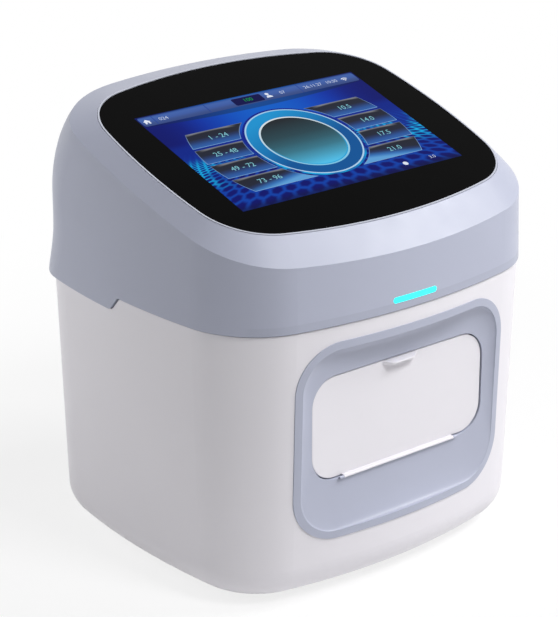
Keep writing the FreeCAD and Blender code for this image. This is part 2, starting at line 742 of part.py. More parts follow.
def flap_outline(gap, y0, y1):
    """Slab with the outline of the bay mouth, drawn in by a gap."""
    corners = rectangle(BAY_HALF_WIDTH - gap, BAY_HALF_HEIGHT - gap, 0, BAY_Z)
    return front_profile(corners, y0, y1, BAY_CORNER - gap)


def flap_panel():
    """Flap with softened front edges, a hem bead that carries its pins, ribs behind and a finger shelf."""
    panel = flap_outline(FLAP_GAP, FLAP_Y, FLAP_BACK)
    front_edges = [edge for edge in panel.Edges if edge.BoundBox.YMax < FLAP_Y + 0.1]
    panel = panel.makeFillet(FLAP_EDGE_ROUND, front_edges)
    bead = rod(V(-HEM_HALF, HEM_Y, HEM_Z), X_AXIS, HEM_RADIUS, 2 * HEM_HALF)
    web = box(-HEM_HALF, HEM_HALF, HEM_Y, FLAP_Y + 1.5, HEM_Z + 0.2, HEM_Z + 0.2 + HEM_WEB)
    rib_z = BAY_Z + BAY_HALF_HEIGHT - 12.6
    ribs = [box(-70, 70, FLAP_BACK - 0.5, FLAP_BACK + 1.2, rib_z - 1, rib_z + 1)]
    ribs.append(box(-1, 1, FLAP_BACK - 0.5, FLAP_BACK + 1.2, BAY_Z - 20, rib_z))
    panel = panel.multiFuse([bead, web, flap_pull()] + ribs)
    for pin in flap_pins().Solids:
        panel = panel.cut(pin)
    return panel.removeSplitter()


def flap_pull():
    """Finger shelf on the top edge of the flap, narrowing and falling towards its tip."""
    top = BAY_Z + BAY_HALF_HEIGHT - FLAP_GAP
    root, tip = FLAP_Y + 1, FLAP_Y - PULL_REACH
    profile = [(root, top - 3.6), (root, top - 0.9), (FLAP_Y, top - 0.9), (tip, top - 1.8), (tip, top - 3.4)]
    shelf = side_profile(profile, -PULL_HALF, PULL_HALF, [0, 0, 0, 0.6, 0.6])
    plan = [(-PULL_TIP_HALF, tip), (PULL_TIP_HALF, tip), (PULL_HALF, FLAP_Y), (PULL_HALF, root)]
    plan += [(-PULL_HALF, root), (-PULL_HALF, FLAP_Y)]
    return shelf.common(plan_profile(plan, 0, FAR, [6, 6, 0, 0, 0, 0]))


def flap_pins():
    """Steel pins pressed into the ends of the hem bead."""
    pins = []
    for side in (-1, 1):
        x0 = min(side * (HEM_HALF - 3), side * (HEM_HALF - 3 + FLAP_PIN_LENGTH))
        pins.append(rod(V(x0, HEM_Y, HEM_Z), X_AXIS, FLAP_PIN, FLAP_PIN_LENGTH))
    return group(pins)


def flap_catch():
    """Magnet block under the liner's ceiling that holds the flap shut."""
    return box(-11, 11, FLAP_BACK + 0.2, LINER_FRONT + 8, LINER_TOP - SHEET - 5, LINER_TOP - SHEET)


def chassis_plate():
    """Steel base plate with a grid of slots."""
    plate = Part.Face(body_wire(PLATE_Z, PLATE_INSET)).extrude(V(0, 0, PLATE_THICKNESS))
    for x in (-30, -10, 10, 30):
        slot = [(x - 3, 60), (x + 3, 60), (x + 3, 100), (x - 3, 100)]
        plate = plate.cut(plan_profile(slot, PLATE_Z - 1, PLATE_TOP + 1, 2.9))
    return plate


def screw_head(x, y, z, radius=3.5, height=2.4):
    """A pan head."""
    head = rod(V(x, y, z), Z_AXIS, radius, height)
    top_edge = [edge for edge in head.Edges if edge.BoundBox.ZMin > z + height - 0.1]
    return head.makeFillet(height * 0.45, top_edge)


def chassis_screws():
    """Screws that hold the plate on its posts."""
    return group([screw_head(x, y, PLATE_TOP) for x, y in POST_PLACES])


def sample_deck():
    """Folded steel bridge that carries the sample drive, with flanged legs."""
    top = box(-DECK_HALF_WIDTH, DECK_HALF_WIDTH, DECK_FRONT, DECK_BACK, DECK_TOP - SHEET, DECK_TOP)
    pieces = [top]
    for side in (-1, 1):
        outer, inner = side * DECK_HALF_WIDTH, side * (DECK_HALF_WIDTH - SHEET)
        x0, x1 = min(outer, inner), max(outer, inner)
        y0, y1 = DECK_FRONT + 19.5, DECK_BACK
        leg = box(x0, x1, y0, y1, PLATE_TOP, DECK_TOP)
        opening = [(y0 + 15, 32), (y1 - 14, 32), (y1 - 14, 58), (y0 + 15, 58)]
        pieces.append(leg.cut(side_profile(opening, x0 - 1, x1 + 1, 6)))
        flange = sorted((outer, outer - side * 10))
        pieces.append(box(*flange, y0, y1, PLATE_TOP, PLATE_TOP + SHEET))
    return fused(pieces)


def bay_liner():
    """Moulded tunnel round the rack with a slot for the needle and a hole for the drive screw."""
    half = LINER_HALF_WIDTH
    outer = box(-half, half, LINER_FRONT, LINER_BACK, DECK_TOP, LINER_TOP)
    side, top = half - SHEET, LINER_TOP - SHEET
    liner = outer.cut(box(-side, side, LINER_FRONT - 1, LINER_BACK - SHEET, DECK_TOP - 1, top))
    x0, x1, y0, y1 = -8, NEEDLE_X_TRAVEL + 8, NEEDLE_Y - 8, NEEDLE_Y + 8
    slot = [(x0, y0), (x1, y0), (x1, y1), (x0, y1)]
    liner = liner.cut(plan_profile(slot, LINER_TOP - 5, LINER_TOP + 5, 6))
    liner = liner.cut(rod(V(0, LINER_BACK - 20, ROD_Z), Y_AXIS, 5, 40))
    return liner.fuse(flap_catch()).removeSplitter()


def tray_guides():
    """Two rods in end blocks for the rack carriage."""
    pieces = []
    for side in (-1, 1):
        x = side * ROD_X
        front, back = LINER_FRONT + 1, LINER_BACK - SHEET - 6.5
        pieces.append(rod(V(x, front - 1, ROD_Z), Y_AXIS, ROD_RADIUS, back + 7 - front))
        for y in (front, back):
            pieces.append(box(x - 7, x + 7, y, y + 5, DECK_TOP, ROD_Z + 5))
    pieces = [fused(pieces[0:3]), fused(pieces[3:6])]
    return group(pieces)


def tray_carriage():
    """Plate with bearing blocks and a drive nut."""
    pieces = [box(-77, 77, RACK_Y - 16, RACK_Y + 16, ROD_Z + 7, ROD_Z + 10)]
    for side in (-1, 1):
        x = side * ROD_X
        pieces.append(box(x - 9, x + 9, RACK_Y - 9, RACK_Y + 12, ROD_Z - 6, ROD_Z + 7))
    pieces.append(box(-9, 9, RACK_Y - 4, RACK_Y + 10, ROD_Z - 6, ROD_Z + 7))
    for x0, x1 in ((-77, -74.2), (74.2, 77)):
        pieces.append(box(x0, x1, RACK_Y - 16, RACK_Y + 16, ROD_Z + 10, ROD_Z + 16))
    carriage = fused(pieces)
    for side in (-1, 1):
        carriage = carriage.cut(rod(V(side * ROD_X, RACK_Y - 30, ROD_Z), Y_AXIS, ROD_RADIUS + CLEAR, 60))
    return carriage.cut(rod(V(0, RACK_Y - 30, ROD_Z), Y_AXIS, ROD_RADIUS + CLEAR, 60))


def tray_screw():
    """Drive screw of the rack carriage with its coupling."""
    screw = rod(V(0, RACK_Y - 10, ROD_Z), Y_AXIS, ROD_RADIUS, 101)
    coupling = rod(V(0, LINER_BACK + 1, ROD_Z), Y_AXIS, 4.6, 8)
    return screw.fuse(coupling).removeSplitter()


def motor(x, y, z, axis, half, length):
    """Square stepper motor with chamfered corners and a round front boss; starts at its mounting face."""
    chamfer = half * 0.22
    outline = []
    for sx, sy in ((-1, -1), (1, -1), (1, 1), (-1, 1)):
        near = (sx * half, sy * (half - chamfer))
        far = (sx * (half - chamfer), sy * half)
        outline += [near, far] if sx * sy > 0 else [far, near]
    body = plan_profile(outline, 0, length)
    turn = FreeCAD.Rotation(Z_AXIS, axis)
    body.Placement = FreeCAD.Placement(V(x, y, z), turn)
    return body


def tray_motor():
    """Stepper motor standing on the deck behind the sample bay."""
    return motor(0, LINER_BACK + 10, ROD_Z, Y_AXIS, MOTOR_HALF, 30)


def sample_rack():
    """Rack with a row of round pockets and a window for the tube labels."""
    half = TUBE_PITCH * TUBE_COUNT / 2 + 3
    z0 = ROD_Z + 10
    corners = [(-half, RACK_Y - 13), (half, RACK_Y - 13), (half, RACK_Y + 13), (-half, RACK_Y + 13)]
    rack = plan_profile(corners, z0, z0 + 46, 4)
    window = front_profile(rectangle(half - 6, 10, 0, z0 + 24), RACK_Y - 14, RACK_Y - 8, 3)
    rack = rack.cut(window)
    for x in tube_places():
        rack = rack.cut(rod(V(x, RACK_Y, TUBE_BASE), Z_AXIS, TUBE_RADIUS + CLEAR, 60))
    return rack


def tube_places():
    """Places of the sample tubes along the rack."""
    return [TUBE_PITCH * (i - (TUBE_COUNT - 1) / 2) for i in range(TUBE_COUNT)]


def sample_tubes():
    """Open glass tubes with round bottoms, standing in the rack."""
    outline = [(0, 0), (TUBE_RADIUS, 0), (TUBE_RADIUS, TUBE_LENGTH), (0, TUBE_LENGTH)]
    tubes = []
    for x in tube_places():
        corners = [V(x + r, RACK_Y, TUBE_BASE + h) for r, h in outline]
        outer = Part.Face(rounded_wire(corners, [0, TUBE_RADIUS * 0.7, 0.4, 0]))
        inner_corners = [V(x + max(r - 1, 0), RACK_Y, TUBE_BASE + max(h, 1) + (h > 1)) for r, h in outline]
        inner = Part.Face(rounded_wire(inner_corners, [0, TUBE_RADIUS * 0.6, 0, 0]))
        tubes.append(outer.cut(inner).revolve(V(x, RACK_Y, 0), Z_AXIS, 360))
    return group(tubes)


def needle_gantry():
    """Portal of two posts, a beam and two end brackets for the cross drive."""
    pieces = [box(-GANTRY_X - 6, GANTRY_X + 6, GANTRY_Y - 10, GANTRY_Y, GANTRY_Z, GANTRY_Z + 22)]
    for side in (-1, 1):
        x0, x1 = sorted((side * GANTRY_X, side * (GANTRY_X + 6)))
        pieces.append(box(x0, x1, GANTRY_Y - 12, GANTRY_Y, PLATE_TOP, GANTRY_Z))
        pieces.append(box(x0, x1, GANTRY_Y - 26, GANTRY_Y + 3, PLATE_TOP, PLATE_TOP + 3))
        bracket = sorted((side * (GANTRY_X - 3), side * (GANTRY_X + 1)))
        pieces.append(box(*bracket, CROSS_Y - 8, GANTRY_Y, CROSS_Z - 8, CROSS_Z + 8))
    gantry = fused(pieces)
    gantry = gantry.cut(rod(V(-FAR, CROSS_Y, CROSS_Z), X_AXIS, SCREW_RADIUS + RUN_FIT, 2 * FAR))
    for x in range(-60, 61, 30):
        hole = [(x - 9, GANTRY_Z + 6), (x + 9, GANTRY_Z + 6), (x + 9, GANTRY_Z + 16), (x - 9, GANTRY_Z + 16)]
        gantry = gantry.cut(front_profile(hole, GANTRY_Y - 6, GANTRY_Y + 1, 4))
    return gantry.fuse(gantry_rail()).removeSplitter()


def gantry_rail():
    """Linear rail on the front of the beam."""
    y1 = GANTRY_Y - 10
    rail = box(-82, 82, y1 - 6, y1, GANTRY_Z + 2, GANTRY_Z + 10)
    for z in (GANTRY_Z + 2, GANTRY_Z + 10):
        groove = [(y1 - 4, z - 1), (y1 - 4, z + 1), (y1 - 2, z + 1), (y1 - 2, z - 1)]
        rail = rail.cut(side_profile(groove, -90, 90))
    return rail


def cross_screw():
    """Screw that drives the needle carriage across."""
    return rod(V(-GANTRY_X - 5, CROSS_Y, CROSS_Z), X_AXIS, SCREW_RADIUS, 2 * GANTRY_X + 5)


def cross_motor():
    """Stepper motor on the left bracket, reached by a spacer tube."""
    body = motor(-GANTRY_X - 8, CROSS_Y, CROSS_Z, V(-1, 0, 0), 10, 20)
    boss = rod(V(-GANTRY_X - 8, CROSS_Y, CROSS_Z), X_AXIS, 7, 7)
    boss = boss.cut(rod(V(-GANTRY_X - 8, CROSS_Y, CROSS_Z), X_AXIS, 3.4, 7))
    boss = boss.cut(box(-FAR, FAR, GANTRY_Y - 10.0, FAR, 0, FAR + FAR))
    return body.fuse(boss).removeSplitter()


def cross_carriage():
    """Carriage that hugs the rail and carries the upright needle guide."""
    rail_y = GANTRY_Y - 16
    block = box(-16, 16, rail_y - 6, rail_y + 5.6, GANTRY_Z - 3, CROSS_Z + 6)
    channel = box(-20, 20, rail_y - 0.2, GANTRY_Y, GANTRY_Z + 1.8, GANTRY_Z + 10.2)
    plate = box(-16, 16, rail_y - 9, rail_y - 6, GUIDE_Z0, GUIDE_Z1)
    pieces = [block, plate]
    for z in (GUIDE_Z0, GUIDE_Z1 - 4):
        flange = [(-16, NEEDLE_Y - 9), (20, NEEDLE_Y - 9), (20, rail_y - 6), (-16, rail_y - 6)]
        pieces.append(plan_profile(flange, z, z + 4, [4, 4, 0, 0]))
    pieces.append(rod(V(-10, NEEDLE_Y, GUIDE_Z0), Z_AXIS, 2, GUIDE_Z1 - GUIDE_Z0))
    carriage = fused(pieces).cut(channel)
    carriage = carriage.cut(rod(V(-30, CROSS_Y, CROSS_Z), X_AXIS, SCREW_RADIUS + CLEAR, 60))
    carriage = carriage.cut(rod(V(0, NEEDLE_Y, GUIDE_Z0 - 1), Z_AXIS, 3, 6))
    return carriage.cut(rod(V(LIFT_X, NEEDLE_Y, GUIDE_Z0 - 1), Z_AXIS, 2 + RUN_FIT, 200))


def lift_screw():
    """Screw that lifts the needle."""
    return rod(V(LIFT_X, NEEDLE_Y, GUIDE_Z0 + 0.5), Z_AXIS, 2, GUIDE_Z1 - GUIDE_Z0 - 0.5)


def lift_motor():
    """Stepper motor on the top flange of the carriage."""
    return motor(LIFT_X, NEEDLE_Y, GUIDE_Z1, Z_AXIS, 9, 17)


def needle_holder():
    """Block that slides on the guide rod and clamps the needle."""
    z0 = HOLDER_Z
    corners = [(-15, NEEDLE_Y - 6), (15, NEEDLE_Y - 6), (15, NEEDLE_Y + 4), (-15, NEEDLE_Y + 4)]
    holder = plan_profile(corners, z0, z0 + 12, 2)
    holder = holder.cut(rod(V(-10, NEEDLE_Y, z0 - 1), Z_AXIS, 2 + CLEAR, 20))
    holder = holder.cut(rod(V(LIFT_X, NEEDLE_Y, z0 - 1), Z_AXIS, 2 + CLEAR, 20))
    return holder.cut(rod(V(0, NEEDLE_Y, z0 - 1), Z_AXIS, 1.0, 20))


def sample_needle():
    """Steel needle with a bevelled tip and a collar."""
    shaft = rod(V(0, NEEDLE_Y, NEEDLE_TIP_Z + 2), Z_AXIS, 1.0, HOLDER_Z + 15 - NEEDLE_TIP_Z - 2)
    tip = Part.makeCone(0.3, 1.0, 2, V(0, NEEDLE_Y, NEEDLE_TIP_Z), Z_AXIS)
    collar = rod(V(0, NEEDLE_Y, HOLDER_Z + 12), Z_AXIS, 2.6, 2)
    return fused([shaft, tip, collar])


def column_oven():
    """Open trough on two legs with saddles for the column."""
    x0, x1, y0, y1, z0, z1 = OVEN
    trough = box(x0, x1, y0, y1, z0, z1).cut(box(x0 + 3, x1 - 3, y0 + 3, y1 - 3, z0 + 3, z1 + 1))
    pieces = [trough]
    for y in (-20, 15):
        pieces.append(box(118, 121, y, y + 10, PLATE_TOP, z0))
        pieces.append(box(118, 130, y, y + 10, PLATE_TOP, PLATE_TOP + 3))
        pieces.append(box(106, 140, y, y + 10, z0 - 3, z0))
    for y in (COLUMN_Y0 + 16, COLUMN_Y1 - 20):
        pieces.append(box(COLUMN_X - 9, COLUMN_X + 9, y, y + 4, z0 + 3, COLUMN_Z))
    oven = fused(pieces)
    oven = oven.cut(rod(V(COLUMN_X, y0 + 5, COLUMN_Z), Y_AXIS, COLUMN_RADIUS, y1 - y0 - 10))
    for y in (y0 - 1, y1 - 4):
        oven = oven.cut(rod(V(COLUMN_X, y, COLUMN_Z), Y_AXIS, 2, 5))
    return oven


def oven_lid():
    """Lid of the column oven with a shallow raised field."""
    x0, x1, y0, y1, _, z1 = OVEN
    lid = box(x0, x1, y0, y1, z1, z1 + 3)
    field = [(x0 + 7, y0 + 7), (x1 - 7, y0 + 7), (x1 - 7, y1 - 7), (x0 + 7, y1 - 7)]
    raised = plan_profile(field, z1 + 3, z1 + 5, 5)
    lip = box(x0 + 3.2, x1 - 3.2, y0 + 3.2, y1 - 3.2, z1 - 2, z1)
    lip = lip.cut(box(x0 + 6, x1 - 6, y0 + 6, y1 - 6, z1 - 3, z1))
    return fused([lid, raised, lip])


def separation_column():
    """Steel column with hexagonal end nuts."""
    pieces = [rod(V(COLUMN_X, COLUMN_Y0, COLUMN_Z), Y_AXIS, COLUMN_RADIUS, COLUMN_Y1 - COLUMN_Y0)]
    for y in (COLUMN_Y0, COLUMN_Y1 - 12):
        corners = []
        for i in range(6):
            angle = math.radians(60 * i)
            corners.append(V(COLUMN_X + 8.5 * math.cos(angle), y, COLUMN_Z + 8.5 * math.sin(angle)))
        pieces.append(Part.Face(rounded_wire(corners, 0)).extrude(V(0, 12, 0)))
    return fused(pieces)


def valve_bracket():
    """Folded bracket under the injection valve."""
    x, y = VALVE_X, VALVE_Y
    pieces = [box(x - 24, x + 24, y - 22, y + 22, VALVE_Z - 3, VALVE_Z)]
    for side in (-1, 1):
        wall = sorted((x + side * 21, x + side * 24))
        foot = sorted((x + side * 14, x + side * 24))
        pieces.append(box(*wall, y - 22, y + 22, PLATE_TOP, VALVE_Z - 3))
        pieces.append(box(*foot, y - 22, y + 22, PLATE_TOP, PLATE_TOP + 2))
    bracket = fused(pieces)
    return bracket.cut(rod(V(x, y, VALVE_Z - 4), Z_AXIS, 5, 5))


def valve_motor():
    """Motor that turns the injection valve."""
    return motor(VALVE_X, VALVE_Y, VALVE_Z - 3, V(0, 0, -1), 17.5, 34)


def valve_rotor():
    """Rotor disc of the injection valve with its drive shaft."""
    disc = rod(V(VALVE_X, VALVE_Y, VALVE_Z + 6), Z_AXIS, 11, 7)
    shaft = rod(V(VALVE_X, VALVE_Y, VALVE_Z - 2.5), Z_AXIS, 3, 9)
    return disc.fuse(shaft).removeSplitter()


def valve_body():
    """Housing and stator head of the injection valve with a ring of ports."""
    body = rod(V(VALVE_X, VALVE_Y, VALVE_Z), Z_AXIS, 18, 18)
    head = rod(V(VALVE_X, VALVE_Y, VALVE_Z + 18), Z_AXIS, 14, 9)
    valve = body.fuse(head).removeSplitter()
    valve = valve.cut(rod(V(VALVE_X, VALVE_Y, VALVE_Z + 5.5), Z_AXIS, 11.3, 8))
    valve = valve.cut(rod(V(VALVE_X, VALVE_Y, VALVE_Z - 1), Z_AXIS, 3 + CLEAR, 8))
    for i in range(6):
        angle = math.radians(60 * i)
        x, y = VALVE_X + 8 * math.cos(angle), VALVE_Y + 8 * math.sin(angle)
        valve = valve.cut(rod(V(x, y, VALVE_Z + 20), Z_AXIS, 2.2, 10))
    return valve


def pump_frame():
    """Base, end walls and guide rods of the eluent pump."""
    x0, x1 = PUMP_X - 24, PUMP_X + 24
    pieces = [
        box(x0, x1, PUMP_Y - PUMP_HEAD, PUMP_Y + PUMP_LENGTH, PLATE_TOP, PLATE_TOP + 6),
        box(x0, x1, PUMP_Y, PUMP_Y + 6, PLATE_TOP + 6, PUMP_Z + 26),
        box(x0, x1, PUMP_Y + PUMP_LENGTH - 6, PUMP_Y + PUMP_LENGTH, PLATE_TOP + 6, PUMP_Z + 26),
    ]
    for side in (-1, 1):
        pieces.append(rod(V(PUMP_X + side * PUMP_ROD_X, PUMP_Y + 2, PUMP_Z), Y_AXIS, 3, PUMP_LENGTH - 4))
    frame = fused(pieces)
    for side in (-1, 1):
        frame = frame.cut(rod(V(PUMP_X + side * PLUNGER_X, PUMP_Y - 1, PUMP_Z), Y_AXIS, 3, 8))
    return frame.cut(rod(V(PUMP_X, PUMP_Y + PUMP_LENGTH - 7, PUMP_Z), Y_AXIS, 3 + RUN_FIT, 8))


def pump_head():
    """Steel pump head with two plunger bores and four valve fittings."""
    head = box(PUMP_X - 20, PUMP_X + 20, PUMP_Y - PUMP_HEAD, PUMP_Y, PUMP_Z - 16, PUMP_Z + 16)
    edges = [edge for edge in head.Edges if edge.BoundBox.YMax < PUMP_Y - PUMP_HEAD + 1]
    head = head.makeChamfer(3, edges)
    for side in (-1, 1):
        head = head.fuse(rod(V(PUMP_X + side * 10, PUMP_Y - 15, PUMP_Z + 15), Z_AXIS, 5, 13))
        start = V(PUMP_X + side * PLUNGER_X, PUMP_Y - PUMP_TRAVEL - 7, PUMP_Z)
        head = head.cut(rod(start, Y_AXIS, 2.5 + CLEAR, 40))
    return head.removeSplitter()


def pump_crosshead():
    """Crosshead with two ceramic plungers."""
    y = PUMP_Y + PUMP_TRAVEL + 12
    block = box(PUMP_X - 23, PUMP_X + 23, y, y + 14, PUMP_Z - 12, PUMP_Z + 12)
    for side in (-1, 1):
        block = block.cut(rod(V(PUMP_X + side * PUMP_ROD_X, y - 1, PUMP_Z), Y_AXIS, 3 + CLEAR, 16))
    block = block.cut(rod(V(PUMP_X, y - 1, PUMP_Z), Y_AXIS, 3 + CLEAR, 16))
    for side in (-1, 1):
        start = V(PUMP_X + side * PLUNGER_X, PUMP_Y - 6, PUMP_Z)
        block = block.fuse(rod(start, Y_AXIS, 2.5, PUMP_TRAVEL + 19))
    return block.removeSplitter()


def pump_screw():
    """Screw of the pump drive."""
    return rod(V(PUMP_X, PUMP_Y + 8, PUMP_Z), Y_AXIS, 3, PUMP_LENGTH - 8)


def pump_motor():
    """Motor behind the pump frame."""
    return motor(PUMP_X, PUMP_Y + PUMP_LENGTH, PUMP_Z, Y_AXIS, 14, 22)


def degasser():
    """Degasser box with ports in front."""
    case = box(-60, -20, 40, 96, PLATE_TOP, 64)
    case = case.makeFillet(2, [edge for edge in case.Edges if edge.BoundBox.ZMin > 60 or edge.Length < 46.5])
    ports = [rod(V(x, 34, 50), Y_AXIS, 3, 7) for x in (-52, -44, -36, -28)]
    return case.multiFuse(ports).removeSplitter()


def optical_detector():
    """Detector case with cooling ribs and the flow cell block on top."""
    case = box(96, 132, -85, -27, PLATE_TOP, 70)
    ribs = [box(96, 132, y, y + 2, 70, 76) for y in range(-82, -50, 5)]
    cell = box(102, 126, -47, -29, 70, 84)
    ports = [rod(V(x, -38, 84), Z_AXIS, 3, 6) for x in (108, 120)]
    return fused([case, cell] + ribs + ports)


def bottle_places():
    """Places of the reagent bottles."""
    return [(BOTTLE_X, y) for y in BOTTLE_Y]


def bottle_rack():
    """Tray round the reagent bottles."""
    x0, x1 = BOTTLE_X - BOTTLE_RADIUS - 3.5, BOTTLE_X + BOTTLE_RADIUS + 3.5
    y0, y1 = BOTTLE_Y[0] - BOTTLE_RADIUS - 2.5, BOTTLE_Y[1] + BOTTLE_RADIUS + 2.5
    tray = plan_profile([(x0, y0), (x1, y0), (x1, y1), (x0, y1)], PLATE_TOP, PLATE_TOP + 30, 12)
    for x, y in bottle_places():
        tray = tray.cut(rod(V(x, y, PLATE_TOP + 2), Z_AXIS, BOTTLE_RADIUS + CLEAR, 40))
    return tray


def reagent_bottles():
    """Shouldered bottles with hollow bodies."""
    r, h = BOTTLE_RADIUS, BOTTLE_HEIGHT
    bottles = []
    for x, y in bottle_places():
        points = [(0, 0), (r, 0), (r, h - 26), (9, h - 12), (9, h), (0, h)]
        corners = [V(x + px, y, PLATE_TOP + 2 + pz) for px, pz in points]
        outer = Part.Face(rounded_wire(corners, [0, 4, 9, 4, 0, 0])).revolve(V(x, y, 0), Z_AXIS, 360)
        w = BOTTLE_WALL
        points = [(0, w), (r - w, w), (r - w, h - 27), (9 - w, h - 13), (9 - w, h + 1), (0, h + 1)]
        corners = [V(x + px, y, PLATE_TOP + 2 + pz) for px, pz in points]
        inner = Part.Face(rounded_wire(corners, [0, 3, 8, 3, 0, 0])).revolve(V(x, y, 0), Z_AXIS, 360)
        bottles.append(outer.cut(inner))
    return group(bottles)


def bottle_caps():
    """Screw caps with a tube port."""
    caps = []
    top = PLATE_TOP + 2 + BOTTLE_HEIGHT
    for x, y in bottle_places():
        cap = rod(V(x, y, top - 10), Z_AXIS, 11.5, 14)
        cap = cap.cut(rod(V(x, y, top - 11), Z_AXIS, 9.2, 11))
        for i in range(16):
            angle = math.radians(22.5 * i)
            groove = rod(V(x + 12 * math.cos(angle), y + 12 * math.sin(angle), top - 11), Z_AXIS, 0.9, 13)
            cap = cap.cut(groove)
        caps.append(cap.fuse(rod(V(x, y, top + 4), Z_AXIS, 3, 5)).removeSplitter())
    return group(caps)


def main_board():
    """Controller board on standoffs under the sample deck."""
    top = PLATE_TOP + 9.6
    y0, y1 = DECK_FRONT + 24.5, DECK_BACK - 14
    pieces = [box(-72, 72, y0, y1, PLATE_TOP + 8, top)]
    for x in (-66, 66):
        for y in (y0 + 6, y1 - 6):
            pieces.append(rod(V(x, y, PLATE_TOP), Z_AXIS, 3, 8))
    chips = [(-30, 50, 28, 28, 3), (20, 40, 20, 20, 2.5), (45, 80, 14, 22, 2), (-50, 15, 30, 9, 9)]
    chips += [(0, 12, 40, 8, 7), (-55, 100, 24, 8, 8), (55, 20, 16, 16, 12), (10, 90, 22, 14, 3)]
    for x, y, w, d, h in chips:
        pieces.append(box(x - w / 2, x + w / 2, y0 + y - d / 2, y0 + y + d / 2, top, top + h))
    return fused(pieces)


def power_supply():
    """Mains power supply in a folded cage with a field of vents."""
    x0, x1, y0, y1, top = SUPPLY
    cage = box(x0, x1, y0, y1, PLATE_TOP, top)
    for i in range(6):
        y = y0 + 12 + 9 * i
        slot = [(x0 + 12, y), (x1 - 12, y), (x1 - 12, y + 4), (x0 + 12, y + 4)]
        cage = cage.cut(plan_profile(slot, top - 2, top + 4, 1.9))
    return cage


def rear_panel():
    """Sheet panel behind the rear mouth with cut-outs for fan, inlet, switch, sockets and fittings."""
    half = PANEL_HALF_WIDTH + PANEL_COLLAR
    middle_z = (PANEL_Z0 + PANEL_Z1) / 2
    half_height = (PANEL_Z1 - PANEL_Z0) / 2 + PANEL_COLLAR
    panel = front_profile(rectangle(half, half_height, 0, middle_z), PANEL_Y - SHEET, PANEL_Y, 6)
    y0, y1 = PANEL_Y - 5, PANEL_Y + 5
    panel = panel.cut(rod(V(FAN_X, y0, FAN_Z), Y_AXIS, FAN_BORE, 10))
    grow = 0.1
    cutouts = [(INLET_HALF[0] + grow, INLET_HALF[1] + grow, INLET_X, INLET_Z)]
    cutouts.append((SWITCH_HALF[0] + grow, SWITCH_HALF[1] + grow, SWITCH_X, INLET_Z))
    for half_width, half_height, x, z in cutouts + SOCKETS:
        panel = panel.cut(front_profile(rectangle(half_width, half_height, x, z), y0, y1, 0.8))
    for x in FITTING_X:
        panel = panel.cut(rod(V(x, y0, FITTING_Z), Y_AXIS, FITTING_RADIUS + 0.2, 10))
    return panel


def panel_screws():
    """Pan-head screws of the rear panel and the fan."""
    screws = []
    places = [(x, z) for x in (-81, 81) for z in (PANEL_Z0 + 7, PANEL_Z1 - 7)]
    places += [(FAN_X + sx * 25, FAN_Z + sz * 25) for sx in (-1, 1) for sz in (-1, 1)]
    for x, z in places:
        screws.append(rod(V(x, PANEL_Y, z), Y_AXIS, 3, 1.8))
    return group(screws)


def fan_housing():
    """Square fan frame with a round duct, a hub and three struts."""
    y0, y1 = PANEL_Y - SHEET - FAN_DEPTH, PANEL_Y - SHEET
    frame = front_profile(rectangle(FAN_HALF, FAN_HALF, FAN_X, FAN_Z), y0, y1, 4)
    frame = frame.cut(rod(V(FAN_X, y0 - 1, FAN_Z), Y_AXIS, FAN_BORE, FAN_DEPTH + 2))
    hub = rod(V(FAN_X, y0, FAN_Z), Y_AXIS, 12, 4)
    struts = []
    for i in range(3):
        strut = box(FAN_X, FAN_X + FAN_BORE + 0.5, y0, y0 + 3, FAN_Z - 2, FAN_Z + 2)
        struts.append(strut.rotate(V(FAN_X, 0, FAN_Z), Y_AXIS, 120 * i))
    return frame.multiFuse([hub] + struts).removeSplitter()


def fan_rotor():
    """Fan hub with seven pitched blades."""
    y0 = PANEL_Y - SHEET - FAN_DEPTH + 4.5
    hub = rod(V(FAN_X, y0, FAN_Z), Y_AXIS, 12, 17)
    blades = []
    for i in range(7):
        corners = [V(FAN_X - 1, y0 + 2, FAN_Z + 11), V(FAN_X + 1, y0 + 2, FAN_Z + 11)]
        corners += [V(FAN_X + 11, y0 + 15, FAN_Z + 11), V(FAN_X + 9, y0 + 15, FAN_Z + 11)]
        blade = Part.Face(rounded_wire(corners, 0)).extrude(V(0, 0, 15.5))
        blade = blade.common(rod(V(FAN_X, y0, FAN_Z), Y_AXIS, FAN_BORE - 1.4, 17))
        blades.append(blade.rotate(V(FAN_X, 0, FAN_Z), Y_AXIS, 360 / 7 * i))
    return hub.multiFuse(blades).removeSplitter()


def fan_guard():
    """Guard of three rings on two crossed bars, lying on the panel."""
    pieces = []
    for radius in (9, 19, 29):
        ring = rod(V(FAN_X, PANEL_Y, FAN_Z), Y_AXIS, radius + 1, 2)
        pieces.append(ring.cut(rod(V(FAN_X, PANEL_Y, FAN_Z), Y_AXIS, radius - 1, 2)))
    for angle in (45, 135):
        bar = box(FAN_X - 31, FAN_X + 31, PANEL_Y, PANEL_Y + 2, FAN_Z - 1, FAN_Z + 1)
        pieces.append(bar.rotate(V(FAN_X, 0, FAN_Z), Y_AXIS, angle))
    return fused(pieces)


def power_inlet():
    """Three-pin appliance inlet with a flange and a deep socket, and the frame of the switch beside it."""
    x, z = INLET_X, INLET_Z
    flange = front_profile(rectangle(15, 12.5, x, z), PANEL_Y, PANEL_Y + 2, 3)
    body = front_profile(rectangle(*INLET_HALF, x, z), PANEL_Y - 22, PANEL_Y, 0.8)
    inlet = flange.fuse(body)
    inlet = inlet.cut(front_profile(rectangle(12, 8.2, x, z), PANEL_Y - 17, PANEL_Y + 3, [1, 1, 4, 4]))
    pins = []
    for px, pz in ((x - 7, z - 2), (x, z + 2), (x + 7, z - 2)):
        pins.append(box(px - 1, px + 1, PANEL_Y - 18, PANEL_Y - 3, pz - 2, pz + 2))
    return group([inlet.multiFuse(pins).removeSplitter(), switch_frame()])


